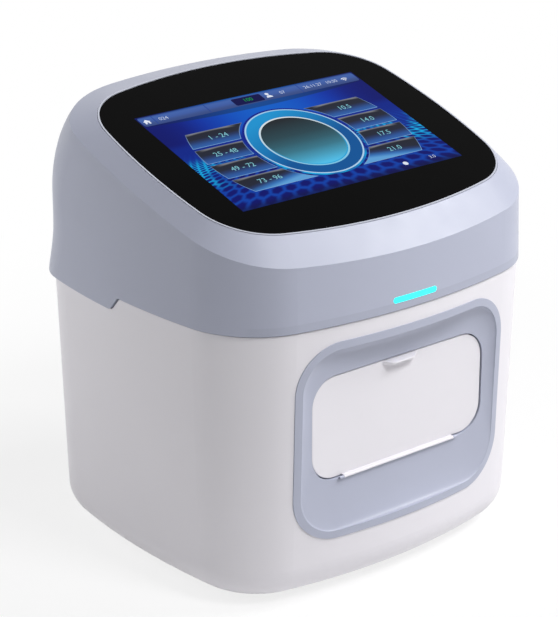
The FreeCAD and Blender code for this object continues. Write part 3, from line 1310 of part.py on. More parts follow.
def switch_frame():
    """Frame of the power switch."""
    x, z = SWITCH_X, INLET_Z
    flange = front_profile(rectangle(7.5, 12.5, x, z), PANEL_Y, PANEL_Y + 1.5, 1.5)
    body = front_profile(rectangle(*SWITCH_HALF, x, z), PANEL_Y - 16, PANEL_Y, 0.8)
    frame = flange.fuse(body)
    return frame.cut(front_profile(rectangle(5.2, 9.6, x, z), PANEL_Y - 8, PANEL_Y + 3, 0.6))


def switch_rocker():
    """Rocker of the power switch, one end pressed in."""
    x = SWITCH_X
    y, z = PANEL_Y - 2.0, INLET_Z
    profile = [(y, z - 4), (y + 1.2, z - 8.2), (y + 4.6, z - 8.6), (y + 3.0, z)]
    profile += [(y + 4.6, z + 8.6), (y + 1.2, z + 8.2), (y, z + 4)]
    rocker = side_profile(profile, x - 4.8, x + 4.8, [1, 1, 1, 12, 1, 1, 1])
    pivot = rod(V(x - 5.15, y + 1.2, z), X_AXIS, 1.5, 10.3)
    rocker = rocker.fuse(pivot)
    return rocker.rotate(V(x, y + 1.2, z), X_AXIS, SWITCH_TILT).removeSplitter()


def data_sockets():
    """Network and serial sockets on a small upright board behind the panel."""
    depth = 18.4
    pieces = [box(14, 84, PANEL_Y - depth - 1.6, PANEL_Y - depth, SOCKET_Z - 12, SOCKET_Z + 16)]
    for half_width, half_height, x, z in SOCKETS:
        outline = rectangle(half_width - 0.2, half_height - 0.2, x, z)
        mouth = rectangle(half_width - 1.4, half_height - 1.4, x, z)
        shell = front_profile(outline, PANEL_Y - depth, PANEL_Y + 0.8, 0.8)
        pieces.append(shell.cut(front_profile(mouth, PANEL_Y - 12, PANEL_Y + 2)))
    for x in (19, 79):
        pieces.append(rod(V(x, PANEL_Y - depth, SOCKET_Z + 13), Y_AXIS, 2.2, depth - SHEET))
    return fused(pieces)


def tube_fittings():
    """Bulkhead fittings with hexagonal collars for eluent, rinse and waste lines."""
    pieces = []
    for x in FITTING_X:
        hexagon = []
        for i in range(6):
            angle = math.radians(60 * i)
            hexagon.append(V(x + 7 * math.cos(angle), PANEL_Y, FITTING_Z + 7 * math.sin(angle)))
        collar = Part.Face(rounded_wire(hexagon, 0)).extrude(V(0, 3, 0))
        stem = rod(V(x, PANEL_Y - 12, FITTING_Z), Y_AXIS, FITTING_RADIUS, 12)
        barb = Part.makeCone(3.6, 2.2, 8, V(x, PANEL_Y + 3, FITTING_Z), Y_AXIS)
        fitting = fused([collar, stem, barb])
        pieces.append(fitting.cut(rod(V(x, PANEL_Y - 13, FITTING_Z), Y_AXIS, 1.3, 30)))
    return group(pieces)


def hose(points, radius=0.9):
    """A thin line along a smooth curve."""
    curve = Part.BSplineCurve()
    curve.interpolate(points)
    path = Part.Wire(curve.toShape())
    start = curve.tangent(curve.FirstParameter)[0]
    circle = Part.Wire(Part.makeCircle(radius, points[0], start))
    return path.makePipeShell([circle], True, False)


def fluid_lines():
    """Thin lines from bottles to degasser, pump, valve, column and flow cell, ending on their ports."""
    cap_top = PLATE_TOP + 2 + BOTTLE_HEIGHT + 9
    ends = bottle_caps().multiFuse([degasser(), pump_head(), valve_body(), optical_detector()])
    ends = ends.multiFuse([separation_column(), column_oven()])
    routes = []
    for i, (x, y) in enumerate(bottle_places()):
        port = V(-52 + 8 * i, 34, 50)
        routes.append([
            V(x, y, cap_top),
            V(x, y, cap_top + 8),
            V(-113 + 5 * i, 6, cap_top + 14),
            V(-84 + 5 * i, 30, 136),
            V(port.x - 2, 31, 72),
            port - Y_AXIS * 3,
            port,
        ])
    head = V(PUMP_X - 10, PUMP_Y - 15, PUMP_Z + 28)
    port = V(VALVE_X - 8, VALVE_Y, VALVE_Z + 20)
    routes.append([
        head,
        head + Z_AXIS * 8,
        V(-98, 14, 120),
        V(-60, 24, 162),
        port + V(-22, -8, 30),
        port + Z_AXIS * 12,
        port,
    ])
    port = V(VALVE_X + 8, VALVE_Y, VALVE_Z + 20)
    oven_back = V(COLUMN_X, OVEN[3], COLUMN_Z)
    routes.append([
        port,
        port + Z_AXIS * 12,
        port + V(16, 8, 34),
        V(74, 84, 176),
        oven_back + V(-14, 20, 4),
        oven_back + Y_AXIS * 7,
        oven_back,
        V(COLUMN_X, COLUMN_Y1, COLUMN_Z),
    ])
    oven_front = V(COLUMN_X, OVEN[2], COLUMN_Z)
    cell = V(108, -38, 90)
    routes.append([
        V(COLUMN_X, COLUMN_Y0, COLUMN_Z),
        oven_front,
        oven_front - Y_AXIS * 6,
        oven_front + V(-3, -14, -10),
        V(114, -74, 124),
        V(108, -44, 104),
        cell + Z_AXIS * 6,
        cell,
    ])
    lines = []
    for route in routes:
        pieces = hose(route).cut(ends).Solids
        lines.append(max(pieces, key=lambda piece: piece.Volume))
    return group(lines)


def fasteners():
    """Screws of the chassis, the rear panel, the fan and the fixed hinge leaves."""
    return group([chassis_screws(), panel_screws(), hinge_screws(True)])


def stepper_motors():
    """Motors fixed to the chassis: rack drive, cross drive, injection valve and pump."""
    return group([tray_motor(), cross_motor(), valve_motor(), pump_motor()])


NODES = {
    "lower_housing": lower_housing,
    "rubber_feet": rubber_feet,
    "recess_frame": recess_frame,
    "chassis_plate": chassis_plate,
    "fasteners": fasteners,
    "hinge_leaves_fixed": lambda: group([hinge_leaf(-1, True), hinge_leaf(1, True)]),
    "hinge_pins": hinge_pins,
    "top_cover": top_cover,
    "screen_trim": screen_trim,
    "touch_glass": touch_glass,
    "screen_module": screen_module,
    "screen_bracket": screen_bracket,
    "screen_board": screen_board,
    "light_bar": light_bar,
    "light_bar_board": light_board,
    "hinge_leaves_moving": lambda: group([hinge_leaf(-1, False), hinge_leaf(1, False), hinge_screws(False)]),
    "flap_panel": flap_panel,
    "flap_pins": flap_pins,
    "sample_deck": sample_deck,
    "bay_liner": bay_liner,
    "tray_guides": tray_guides,
    "tray_carriage": tray_carriage,
    "tray_screw": tray_screw,
    "sample_rack": sample_rack,
    "sample_tubes": sample_tubes,
    "stepper_motors": stepper_motors,
    "needle_gantry": needle_gantry,
    "cross_screw": cross_screw,
    "cross_carriage": cross_carriage,
    "lift_screw": lift_screw,
    "lift_motor": lift_motor,
    "needle_holder": needle_holder,
    "sample_needle": sample_needle,
    "column_oven": column_oven,
    "oven_lid": oven_lid,
    "separation_column": separation_column,
    "valve_bracket": valve_bracket,
    "valve_rotor": valve_rotor,
    "valve_body": valve_body,
    "pump_frame": pump_frame,
    "pump_head": pump_head,
    "pump_crosshead": pump_crosshead,
    "pump_screw": pump_screw,
    "degasser": degasser,
    "optical_detector": optical_detector,
    "bottle_rack": bottle_rack,
    "reagent_bottles": reagent_bottles,
    "bottle_caps": bottle_caps,
    "main_board": main_board,
    "power_supply": power_supply,
    "rear_panel": rear_panel,
    "fan_housing": fan_housing,
    "fan_rotor": fan_rotor,
    "fan_guard": fan_guard,
    "power_inlet": power_inlet,
    "switch_rocker": switch_rocker,
    "data_sockets": data_sockets,
    "tube_fittings": tube_fittings,
    "fluid_lines": fluid_lines,
}

os.makedirs(OUT_DIR, exist_ok=True)
for node_name, make in NODES.items():
    save(node_name, make())
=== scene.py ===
"""Looks of a bench-top haemoglobin analyser: moulded shells, black glass with a lit screen, inner works."""

import json
import math

import bmesh
import bpy
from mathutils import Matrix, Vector


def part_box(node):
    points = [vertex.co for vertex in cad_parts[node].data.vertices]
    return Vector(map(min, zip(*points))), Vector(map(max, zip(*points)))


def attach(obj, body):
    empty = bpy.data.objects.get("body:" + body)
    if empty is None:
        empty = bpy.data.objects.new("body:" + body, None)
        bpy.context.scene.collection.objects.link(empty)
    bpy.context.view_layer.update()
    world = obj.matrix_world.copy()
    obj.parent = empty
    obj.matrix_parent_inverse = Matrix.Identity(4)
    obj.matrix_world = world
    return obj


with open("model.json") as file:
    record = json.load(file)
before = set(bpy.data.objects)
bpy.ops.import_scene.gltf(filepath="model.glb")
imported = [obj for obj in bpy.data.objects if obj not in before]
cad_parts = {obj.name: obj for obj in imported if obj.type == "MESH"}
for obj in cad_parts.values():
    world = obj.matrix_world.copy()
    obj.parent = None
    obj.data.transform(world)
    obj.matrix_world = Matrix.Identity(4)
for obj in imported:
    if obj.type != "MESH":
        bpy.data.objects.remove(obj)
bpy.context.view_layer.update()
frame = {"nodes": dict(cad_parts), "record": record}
MM = 0.001


class Wire:
    """A shader socket that can be used in arithmetic."""

    def __init__(self, finish, socket):
        self.finish, self.socket = finish, socket

    def __add__(self, other):
        return self.finish.sum(self, other, "ADD")

    __radd__ = __add__

    def __mul__(self, other):
        return self.finish.sum(self, other, "MULTIPLY")

    __rmul__ = __mul__

    def __sub__(self, other):
        return self.finish.sum(self, other, "SUBTRACT")

    def __rsub__(self, other):
        return self.finish.sum(other, self, "SUBTRACT")

    def __truediv__(self, other):
        return self.finish.sum(self, other, "DIVIDE")

    def above(self, other):
        return self.finish.sum(self, other, "GREATER_THAN")

    def least(self, other):
        return self.finish.sum(self, other, "MINIMUM")

    def most(self, other):
        return self.finish.sum(self, other, "MAXIMUM")

    def apply(self, operation, other=0.0):
        return self.finish.sum(self, other, operation)


class Finish:
    """A material being built from nodes."""

    def __init__(self, name, **constants):
        self.material = bpy.data.materials.new(name)
        self.material.use_nodes = True
        self.nodes = self.material.node_tree.nodes
        self.links = self.material.node_tree.links
        self.shader = self.nodes["Principled BSDF"]
        self.set(**constants)

    def set(self, **sockets):
        """Constants or links for the shader's sockets, named with underscores for spaces."""
        for name, value in sockets.items():
            self.feed(self.shader.inputs[name.replace("_", " ")], value)
        return self

    def feed(self, socket, value):
        if isinstance(value, Wire):
            self.links.new(value.socket, socket)
        elif isinstance(value, tuple) and socket.type == "RGBA":
            socket.default_value = (*value[:3], 1.0)
        else:
            socket.default_value = value

    def node(self, kind, settings=None, out=0, **sockets):
        """Add a node: its settings first, then its sockets by name or by i0, i1 for their places."""
        node = self.nodes.new(kind)
        for name, value in (settings or {}).items():
            if name == "stops":
                ramp = node.color_ramp
                while len(ramp.elements) < len(value):
                    ramp.elements.new(0.5)
                for element, (place, colour) in zip(ramp.elements, value):
                    element.position = place
                    element.color = (*colour, 1.0)
            else:
                setattr(node, name, value)
        for name, value in sockets.items():
            place = int(name[1:]) if name[0] == "i" and name[1:].isdigit() else name.replace("_", " ")
            self.feed(node.inputs[place], value)
        return Wire(self, node.outputs[out])

    def sum(self, a, b, operation):
        return self.node("ShaderNodeMath", {"operation": operation}, i0=a, i1=b)

    def place(self):
        """Object coordinates."""
        return self.node("ShaderNodeTexCoord", out="Object")

    def chart(self):
        """The two parts of the piece's own UV map."""
        return self.axes(self.node("ShaderNodeTexCoord", out="UV"))[:2]

    def axes(self, vector):
        """The three parts of a vector."""
        split = self.nodes.new("ShaderNodeSeparateXYZ")
        self.feed(split.inputs[0], vector)
        return [Wire(self, split.outputs[i]) for i in range(3)]

    def noise(self, scale, detail=2.0, roughness=0.5, stretch=None):
        vector = self.place()
        if stretch:
            vector = self.node("ShaderNodeVectorMath", {"operation": "MULTIPLY"}, i0=vector, i1=stretch)
        return self.node(
            "ShaderNodeTexNoise", None, "Fac", Vector=vector, Scale=scale, Detail=detail, Roughness=roughness
        )

    def mix(self, factor, first, second, blend="MIX"):
        settings = {"data_type": "RGBA", "blend_type": blend}
        return self.node("ShaderNodeMix", settings, 2, i0=factor, i6=first, i7=second)

    def spread(self, value, low, high, to_low, to_high):
        """Map a value from one range to another, held at the ends."""
        settings = {"clamp": True}
        return self.node("ShaderNodeMapRange", settings, 0, i0=value, i1=low, i2=high, i3=to_low, i4=to_high)

    def soft_step(self, value, low, high):
        """0 below, 1 above, with a smooth rise between."""
        settings = {"clamp": True, "interpolation_type": "SMOOTHSTEP"}
        return self.node("ShaderNodeMapRange", settings, 0, i0=value, i1=low, i2=high, i3=0.0, i4=1.0)

    def ramp(self, value, *stops):
        """Colour along a run of stops, each a place and a colour."""
        return self.node("ShaderNodeValToRGB", {"stops": stops}, "Color", Fac=value)

    def bump(self, height, strength, distance):
        return self.node("ShaderNodeBump", None, 0, Strength=strength, Distance=distance, Height=height)


def scaled(colour, factor):
    """A colour made lighter or darker."""
    return tuple(min(1.0, part * factor) for part in colour)


def screen_colour(red, green, blue):
    """A colour given as 0 to 255 display values, as a linear colour."""
    parts = (red / 255, green / 255, blue / 255)
    return tuple(v / 12.92 if v <= 0.04045 else ((v + 0.055) / 1.055) ** 2.4 for v in parts)


MOULDING_SPECULAR = 0.25


def clouded(finish, colour, variation):
    """A colour with a faint, slow cloudiness."""
    cloud = finish.spread(finish.noise(9.0, 3.0), 0.3, 0.7, 0.0, 1.0)
    return finish.mix(cloud, scaled(colour, 1 - variation), scaled(colour, 1 + variation))


def moulded(name, colour, roughness, grain, variation):
    """Moulded plastic: fine spark-eroded grain, faint cloudiness and a slow change of gloss."""
    finish = Finish(name, Specular_IOR_Level=MOULDING_SPECULAR)
    finish.set(
        Base_Color=clouded(finish, colour, variation),
        Roughness=finish.spread(finish.noise(60.0), 0.3, 0.7, roughness - 0.03, roughness + 0.03),
        Normal=finish.bump(finish.noise(2600.0, 2.0, 0.6), grain, 0.0002),
    )
    return finish.material


def brushed(name, colour, roughness, stretch=(1.0, 1.0, 40.0)):
    """Metal with fine drawn lines along one direction."""
    finish = Finish(name, Metallic=1.0)
    lines = finish.noise(900.0, 3.0, 0.6, stretch)
    tone = finish.spread(lines, 0.3, 0.7, 0.0, 1.0)
    finish.set(
        Base_Color=finish.mix(tone, scaled(colour, 0.9), scaled(colour, 1.08)),
        Roughness=finish.spread(lines, 0.3, 0.7, roughness - 0.06, roughness + 0.08),
        Normal=finish.bump(lines, 0.06, 0.0002),
    )
    return finish.material


def plated_sheet(name, colour):
    """Zinc-plated sheet with a faint spangle."""
    finish = Finish(name, Metallic=0.9)
    cells = finish.node("ShaderNodeTexVoronoi", None, "Color", Vector=finish.place(), Scale=160.0)
    tone = finish.axes(cells)[0]
    finish.set(
        Base_Color=finish.mix(tone, scaled(colour, 0.92), scaled(colour, 1.05)),
        Roughness=finish.spread(tone, 0.0, 1.0, 0.32, 0.46),
        Normal=finish.bump(finish.noise(300.0), 0.04, 0.0003),
    )
    return finish.material


def clear_plastic(name, colour, roughness, transmission, filling=None, level=0.0):
    """Translucent plastic or glass, with the colour of what fills it up to a level."""
    finish = Finish(name, IOR=1.46, Transmission_Weight=transmission)
    cloud = finish.noise(40.0)
    shade = finish.mix(cloud, scaled(colour, 0.95), scaled(colour, 1.05))
    if filling:
        full = finish.soft_step(finish.axes(finish.place())[2], level + 0.0004, level - 0.0004)
        shade = finish.mix(full, shade, filling)
    finish.set(
        Base_Color=shade,
        Roughness=finish.spread(cloud, 0.3, 0.7, roughness * 0.8, roughness * 1.2 + 0.01),
    )
    return finish.material


BOARD_GREEN = (0.02, 0.16, 0.07)
CHIP_BLACK = (0.022, 0.022, 0.025)


def circuit_board(name, outward, level):
    """Green board with a lattice of tracks; what stands beyond a level along outward is black parts."""
    finish = Finish(name, Coat_Weight=0.3, Coat_Roughness=0.2)
    x, y, z = finish.axes(finish.place())
    parts = (x * outward[0] + y * outward[1] + z * outward[2]).above(level)
    tracks = (x * 900.0).apply("SINE").above(0.75).most((y * 700.0).apply("SINE").above(0.82))
    patches = finish.noise(60.0, 1.0).above(0.52)
    laminate = finish.mix(tracks * patches, BOARD_GREEN, scaled(BOARD_GREEN, 1.9))
    finish.set(
        Base_Color=finish.mix(parts, laminate, CHIP_BLACK),
        Roughness=finish.spread(finish.noise(200.0), 0.3, 0.7, 0.3, 0.4),
        Normal=finish.bump(tracks * patches, 0.1, 0.0002),
    )
    return finish.material


SHADE_BAND_TOP = 0.2297
SHADE_BAND_ENDS = (-0.118, -0.126)


def cover_moulding(name, colour, roughness, variation):
    """Moulded cover with a band along its lower edge at the front, painted darker as painted shade where the
    shell turns inwards, with a bump line at its top.
    """
    finish = Finish(name, Specular_IOR_Level=MOULDING_SPECULAR)
    x, y, z = finish.axes(finish.place())
    front = finish.soft_step(y, *SHADE_BAND_ENDS)
    # band: mask of the painted shade below the top of the band at the front
    band = finish.soft_step(z, SHADE_BAND_TOP + 0.0002, SHADE_BAND_TOP - 0.0002) * front
    line = finish.soft_step((z - SHADE_BAND_TOP).apply("ABSOLUTE"), 0.0005, 0.0001) * front
    finish.set(
        # The darker colour inside the band is painted shade, not a different plastic.
        Base_Color=finish.mix(band, clouded(finish, colour, variation), scaled(colour, 0.93)),
        Roughness=finish.spread(finish.noise(60.0), 0.3, 0.7, roughness - 0.03, roughness + 0.03),
        Normal=finish.bump(finish.noise(2600.0, 2.0, 0.6) * 0.3 - line, 0.12, 0.0003),
    )
    return finish.material


def black_glass():
    """Black printed glass with a dark, nearly mirror-free front."""
    finish = Finish("black_glass", Specular_IOR_Level=0.012)
    smear = finish.spread(finish.noise(30.0, 3.0), 0.35, 0.65, 0.0, 1.0)
    finish.set(
        Base_Color=finish.mix(smear, (0.0002, 0.0002, 0.0002), (0.0004, 0.0004, 0.0004)),
        Roughness=finish.mix(smear, (0.05, 0.05, 0.05), (0.09, 0.09, 0.09)),
    )
    return finish.material


WHITE = (0.76, 0.74, 0.78)
BLUE_GREY = (0.42, 0.44, 0.54)
BLOOD = (0.30, 0.01, 0.015)
BUFFER = (0.80, 0.74, 0.58)
GLASS_TILT = math.radians(16.84)
BOARD_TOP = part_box("main_board")[0][2] + 0.0097


def filled_to(node_name, share):
    """Height up to which the vessels of a node are filled."""
    low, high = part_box(node_name)
    return low[2] + share * (high[2] - low[2])



finishes = {
    "white": moulded("white_moulding", WHITE, 0.40, 0.05, 0.012),
    "grey": moulded("blue_grey_moulding", BLUE_GREY, 0.36, 0.05, 0.015),
    "trim": moulded("trim_moulding", (0.50, 0.52, 0.60), 0.3, 0.02, 0.01),
    "rubber": moulded("rubber", (0.02, 0.02, 0.022), 0.7, 0.3, 0.1),
    "steel": brushed("brushed_steel", (0.62, 0.62, 0.63), 0.28),
    "sheet": plated_sheet("plated_sheet", (0.72, 0.73, 0.74)),
    "alu": brushed("anodised_aluminium", (0.74, 0.75, 0.77), 0.38, (30.0, 1.0, 1.0)),
    "liner": moulded("liner_moulding", (0.62, 0.63, 0.67), 0.5, 0.08, 0.02),
    "dark": moulded("black_moulding", (0.025, 0.025, 0.028), 0.45, 0.1, 0.1),
    "motor": moulded("motor_enamel", (0.03, 0.03, 0.034), 0.35, 0.05, 0.1),
    "board": circuit_board("circuit_board", (0.0, 0.0, 1.0), BOARD_TOP),
    "rack": moulded("rack_moulding", (0.06, 0.22, 0.45), 0.4, 0.05, 0.03),
    "tube": clear_plastic("tube_glass", (0.93, 0.96, 0.97), 0.04, 0.85, BLOOD, filled_to("sample_tubes", 0.62)),
    "bottle": clear_plastic(
        "bottle_plastic", (0.86, 0.87, 0.84), 0.35, 0.35, BUFFER, filled_to("reagent_bottles", 0.7)
    ),
    "cap": moulded("cap_moulding", (0.05, 0.20, 0.52), 0.4, 0.05, 0.03),
    "line": clear_plastic("line_plastic", (0.9, 0.72, 0.42), 0.2, 0.5),
    "panel": moulded("powder_coat", (0.42, 0.44, 0.50), 0.55, 0.5, 0.03),
    "glass": black_glass(),
    "screen": moulded("screen_edge", (0.01, 0.03, 0.10), 0.2, 0.0, 0.05),
}
light_finish = Finish("light_guide", Roughness=0.25)
glow = light_finish.noise(120.0, 1.0)
light_finish.set(
    Base_Color=light_finish.mix(glow, (0.02, 0.75, 0.78), (0.05, 0.85, 0.86)),
    Emission_Color=light_finish.mix(glow, (0.0, 0.86, 0.84), (0.02, 0.95, 0.92)),
    Emission_Strength=0.75,
)
finishes["light"] = light_finish.material

down_slope = (0.0, math.sin(GLASS_TILT), -math.cos(GLASS_TILT))
screen_board_corners = frame["nodes"]["screen_board"].data.vertices
screen_board_face = min(Vector(down_slope).dot(vertex.co) for vertex in screen_board_corners) + 0.0067
own_finishes = {
    "top_cover": cover_moulding("cover_moulding", BLUE_GREY, 0.36, 0.015),
    "screen_board": circuit_board("display_board", down_slope, screen_board_face),
    "separation_column": brushed("column_steel", (0.55, 0.55, 0.57), 0.22, (1.0, 40.0, 1.0)),
}

for part in frame["record"]["subparts"]:
    node = frame["nodes"][part["node"]]
    node.data.materials.clear()
    node.data.materials.append(own_finishes.get(part["node"]) or finishes[part["material_slot"]])

# What the lit screen shows, as thin slips on the glass; u runs across and v up the slope, in millimetres
GLASS_MIDDLE = Vector((0.0, -17.6, 322.3)) * MM
UPHILL = Vector((0.0, math.cos(GLASS_TILT), math.sin(GLASS_TILT)))
OUTWARD = Vector((0.0, -math.sin(GLASS_TILT), math.cos(GLASS_TILT)))
GLASS_FACE = max(OUTWARD.dot(vertex.co) for vertex in frame["nodes"]["touch_glass"].data.vertices)
GLASS_LIFT = GLASS_FACE - OUTWARD.dot(GLASS_MIDDLE)
LAYER = 0.00003
DIAL_MIDDLE = (-0.8, -6.0)
DIAL_RADIUS = 46.0
WELL_RADIUS = 35.0
TILE_INNER = 50.3
TILE_OUTER = 94.2
TILE_ROWS = ((34.0, 14.2), (11.8, -7.4), (-10.2, -29.4), (-32.0, -51.2))


def on_glass(u, v, layer):
    """A point on the glass, lifted by a number of layers."""
    on_plane = GLASS_MIDDLE + Vector((u * MM, 0.0, 0.0)) + UPHILL * (v * MM)
    return on_plane + OUTWARD * (GLASS_LIFT + layer * LAYER)


def display_piece(name, form, finish, chart=None):
    """A piece of the display from flat faces: turned outwards, its UVs u, v or what chart gives."""
    uv = form.loops.layers.uv.new("UVMap")
    for index, face in enumerate(form.faces):
        face.normal_update()
        if face.normal.dot(OUTWARD) < 0:
            face.normal_flip()
        for loop in face.loops:
            offset = loop.vert.co - GLASS_MIDDLE
            u, v = offset.x / MM, offset.dot(UPHILL) / MM
            loop[uv].uv = chart(index, u, v) if chart else (u, v)
    mesh = bpy.data.meshes.new(name)
    form.to_mesh(mesh)
    form.free()
    mesh.materials.append(finish)
    piece = bpy.data.objects.new(name, mesh)
    bpy.context.scene.collection.objects.link(piece)
    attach(piece, "cover")


def slip(name, outlines, layer, finish, chart=None):
    """A flat slip of the display from closed outlines."""
    form = bmesh.new()
    for outline in outlines:
        form.faces.new([form.verts.new(on_glass(u, v, layer)) for u, v in outline])
    display_piece(name, form, finish, chart)


def ring_slip(name, inner, outer, layer, finish):
    """A flat ring about the dial's middle, in short sectors."""
    steps = 96
    outlines = []
    for i in range(steps):
        turn = [2 * math.pi * (i + k) / steps for k in (0, 1)]
        corners = ((inner, turn[0]), (outer, turn[0]), (outer, turn[1]), (inner, turn[1]))
        outlines.append([on_circle(radius, angle) for radius, angle in corners])
    slip(name, outlines, layer, finish)


def on_circle(radius, angle, middle=DIAL_MIDDLE):
    return middle[0] + radius * math.cos(angle), middle[1] + radius * math.sin(angle)


def tile_outline(side, top, bottom, inset=0.0):
    """A key beside the dial: level top and bottom, curved ends round the dial's middle."""
    top, bottom = top - inset, bottom + inset
    heights = [bottom + (top - bottom) * i / 12 for i in range(13)]
    points = []
    for radius, run in ((TILE_OUTER - inset, heights), (TILE_INNER + inset, heights[::-1])):
        for v in run:
            reach = math.sqrt(radius ** 2 - (v - DIAL_MIDDLE[1]) ** 2)
            points.append((DIAL_MIDDLE[0] + side * reach, v))
    return points


def rounded_outline(left, right, bottom, top, corner):
    """A rectangle with rounded corners."""
    points = []
    for x, y, start in ((right, top, 0), (left, top, 90), (left, bottom, 180), (right, bottom, 270)):
        cx = x - corner if x == right else x + corner
        cy = y - corner if y == top else y + corner
        for step in range(7):
            points.append(on_circle(corner, math.radians(start + 15 * step), (cx, cy)))
    return points


def lit(name):
    """A finish that shines by itself behind the glass."""
    finish = Finish(name, Base_Color=(0.0, 0.0, 0.0), Roughness=0.12)
    return finish.set(Emission_Strength=1.0, Specular_IOR_Level=0.02)


def shown(finish, colour):
    """Give a lit finish its colour with the faint unevenness of a back light."""
    uneven = finish.spread(finish.noise(14.0, 2.0), 0.3, 0.7, 0.0, 1.0)
    finish.set(Emission_Color=finish.mix(uneven * 0.06, colour, (0.0, 0.0, 0.0)))
    return finish.material


def night_plane():
    """Deep blue ground with a lit net of cells that runs towards the viewer."""
    finish = lit("display_ground")
    u, v = finish.chart()
    aside = finish.soft_step(u.apply("ABSOLUTE"), 0.0, 108.0)
    sky = finish.ramp(
        aside,
        (0.0, screen_colour(1, 92, 198)),
        (0.35, screen_colour(0, 68, 181)),
        (0.62, screen_colour(0, 48, 160)),
        (0.85, screen_colour(1, 25, 124)),
        (1.0, screen_colour(1, 15, 106)),
    )
    ground = finish.mix(aside, screen_colour(0, 40, 150), screen_colour(1, 34, 134))
    colour = finish.mix(finish.soft_step(v, 26.0, 16.0), sky, ground)
    fall = finish.sum(40.0, v, "SUBTRACT").most(1.0)
    waver = finish.noise(22.0, 2.0) - 0.5
    across = (u + 6.0) / fall * 7.1 + waver * 0.9
    along = finish.sum(911.0, fall, "DIVIDE") + waver * 1.1
    cell = hexagon_distance(finish, across, along)
    web = finish.soft_step(cell, 0.24, 0.49)
    near = finish.soft_step(v, 8.0, -34.0)
    dark_cell = finish.mix(near, screen_colour(1, 38, 142), screen_colour(1, 10, 106))
    strand = finish.mix(near, screen_colour(1, 58, 160), screen_colour(2, 62, 165))
    net = finish.mix(web, dark_cell, strand)
    colour = finish.mix(finish.soft_step(v, 12.0, -4.0), colour, net)
    band = finish.soft_step(v, -44.0, -24.0) * finish.soft_step(v, 4.0, -8.0)
    spark = finish.soft_step(finish.noise(34.0, 1.0), 0.44, 0.62)
    colour = finish.mix(band * spark * web, colour, screen_colour(6, 170, 225))
    colour = finish.mix(finish.soft_step(v, -60.0, -70.0) * 0.8, colour, screen_colour(3, 8, 62))
    arc = u * u * 0.00046 + 48.3
    dusk = finish.mix(aside, screen_colour(7, 69, 143), screen_colour(2, 16, 92))
    colour = finish.mix(finish.soft_step(v - arc, -0.4, 0.6), colour, dusk)
    return shown(finish, colour)


def hexagon_distance(finish, x, y):
    """How far out a point lies in its six-sided cell: 0 in the middle, 0.5 on the edge."""
    results = []
    for shift in (0.0, 1.0):
        px = (x + shift * 0.5).apply("FLOORED_MODULO", 1.0) - 0.5
        py = (y + shift * 0.8660).apply("FLOORED_MODULO", 1.7321) - 0.8660
        px, py = px.apply("ABSOLUTE"), py.apply("ABSOLUTE")
        results.append(px.most(px * 0.5 + py * 0.8660))
    return results[0].least(results[1])


def key_face(name, slanted):
    """Dark glass key that turns blue towards its lower edge, with a pale sheen under its upper edge."""
    finish = lit(name)
    inward, height = finish.chart()
    rise = height - inward * 0.55 + 0.28 if slanted else height
    fade = finish.ramp(
        rise,
        (0.0, screen_colour(92, 158, 214) if slanted else screen_colour(48, 98, 172)),
        (0.2, screen_colour(52, 112, 182) if slanted else screen_colour(41, 84, 152)),
        (0.42, screen_colour(36, 54, 98)),
        (0.58, screen_colour(33, 38, 56)),
        (1.0, screen_colour(33, 35, 46)),
    )
    middle = inward - 0.5
    sheen = finish.soft_step(height + middle * middle * 0.5, 0.88, 1.0)
    sheen = sheen * finish.soft_step(middle.apply("ABSOLUTE"), 0.45, 0.25)
    return shown(finish, finish.mix(sheen * 0.75, fade, screen_colour(150, 152, 158)))


def key_edge():
    """Thin lit outline of the keys, paler at their lower edges."""
    finish = lit("display_key_edge")
    height = finish.chart()[1]
    return shown(finish, finish.mix(height, screen_colour(120, 165, 212), screen_colour(96, 108, 138)))


def dial_band():
    """Blue ring, brightest at its upper left."""
    finish = lit("display_dial")
    u, v = finish.chart()
    toward = ((v - DIAL_MIDDLE[1]) * 0.93 - (u - DIAL_MIDDLE[0]) * 0.37) / DIAL_RADIUS
    shine = finish.spread(toward, -0.25, 0.85, 0.0, 1.0)
    return shown(finish, finish.mix(shine, screen_colour(5, 83, 150), screen_colour(24, 145, 207)))


def dial_shade():
    """Dark gap round the dial, lit in ice blue low down on both sides."""
    finish = lit("display_shade")
    v = finish.chart()[1]
    glow = finish.soft_step(v, 2.0, -22.0) * finish.soft_step(finish.noise(40.0, 1.0), 0.38, 0.6)
    return shown(finish, finish.mix(glow, screen_colour(6, 26, 136), screen_colour(6, 170, 226)))


def dial_rim(name, high, low):
    """White line round the dial, which turns to ice blue lower down."""
    finish = lit(name)
    v = finish.chart()[1]
    shine = finish.spread((v - DIAL_MIDDLE[1]) / DIAL_RADIUS, -0.8, 0.8, 0.0, 1.0)
    return shown(finish, finish.mix(shine, low, high))


def dial_well():
    """Middle of the dial: slate at the top to light cyan at the bottom."""
    finish = lit("display_well")
    u, v = finish.chart()
    right, up = u - DIAL_MIDDLE[0], v - DIAL_MIDDLE[1]
    fill = finish.ramp(
        up / (2 * WELL_RADIUS) + 0.5,
        (0.05, screen_colour(80, 190, 232)),
        (0.2, screen_colour(69, 156, 187)),
        (0.35, screen_colour(56, 118, 138)),
        (0.5, screen_colour(47, 91, 105)),
        (0.64, screen_colour(41, 70, 80)),
        (0.95, screen_colour(31, 37, 43)),
    )
    reach = (right * right + up * up).apply("SQRT")
    edge = finish.soft_step(reach, WELL_RADIUS - 2.6, WELL_RADIUS - 1.2) * finish.soft_step(up, 8.0, -16.0)
    return shown(finish, finish.mix(edge, fill, screen_colour(18, 158, 216)))


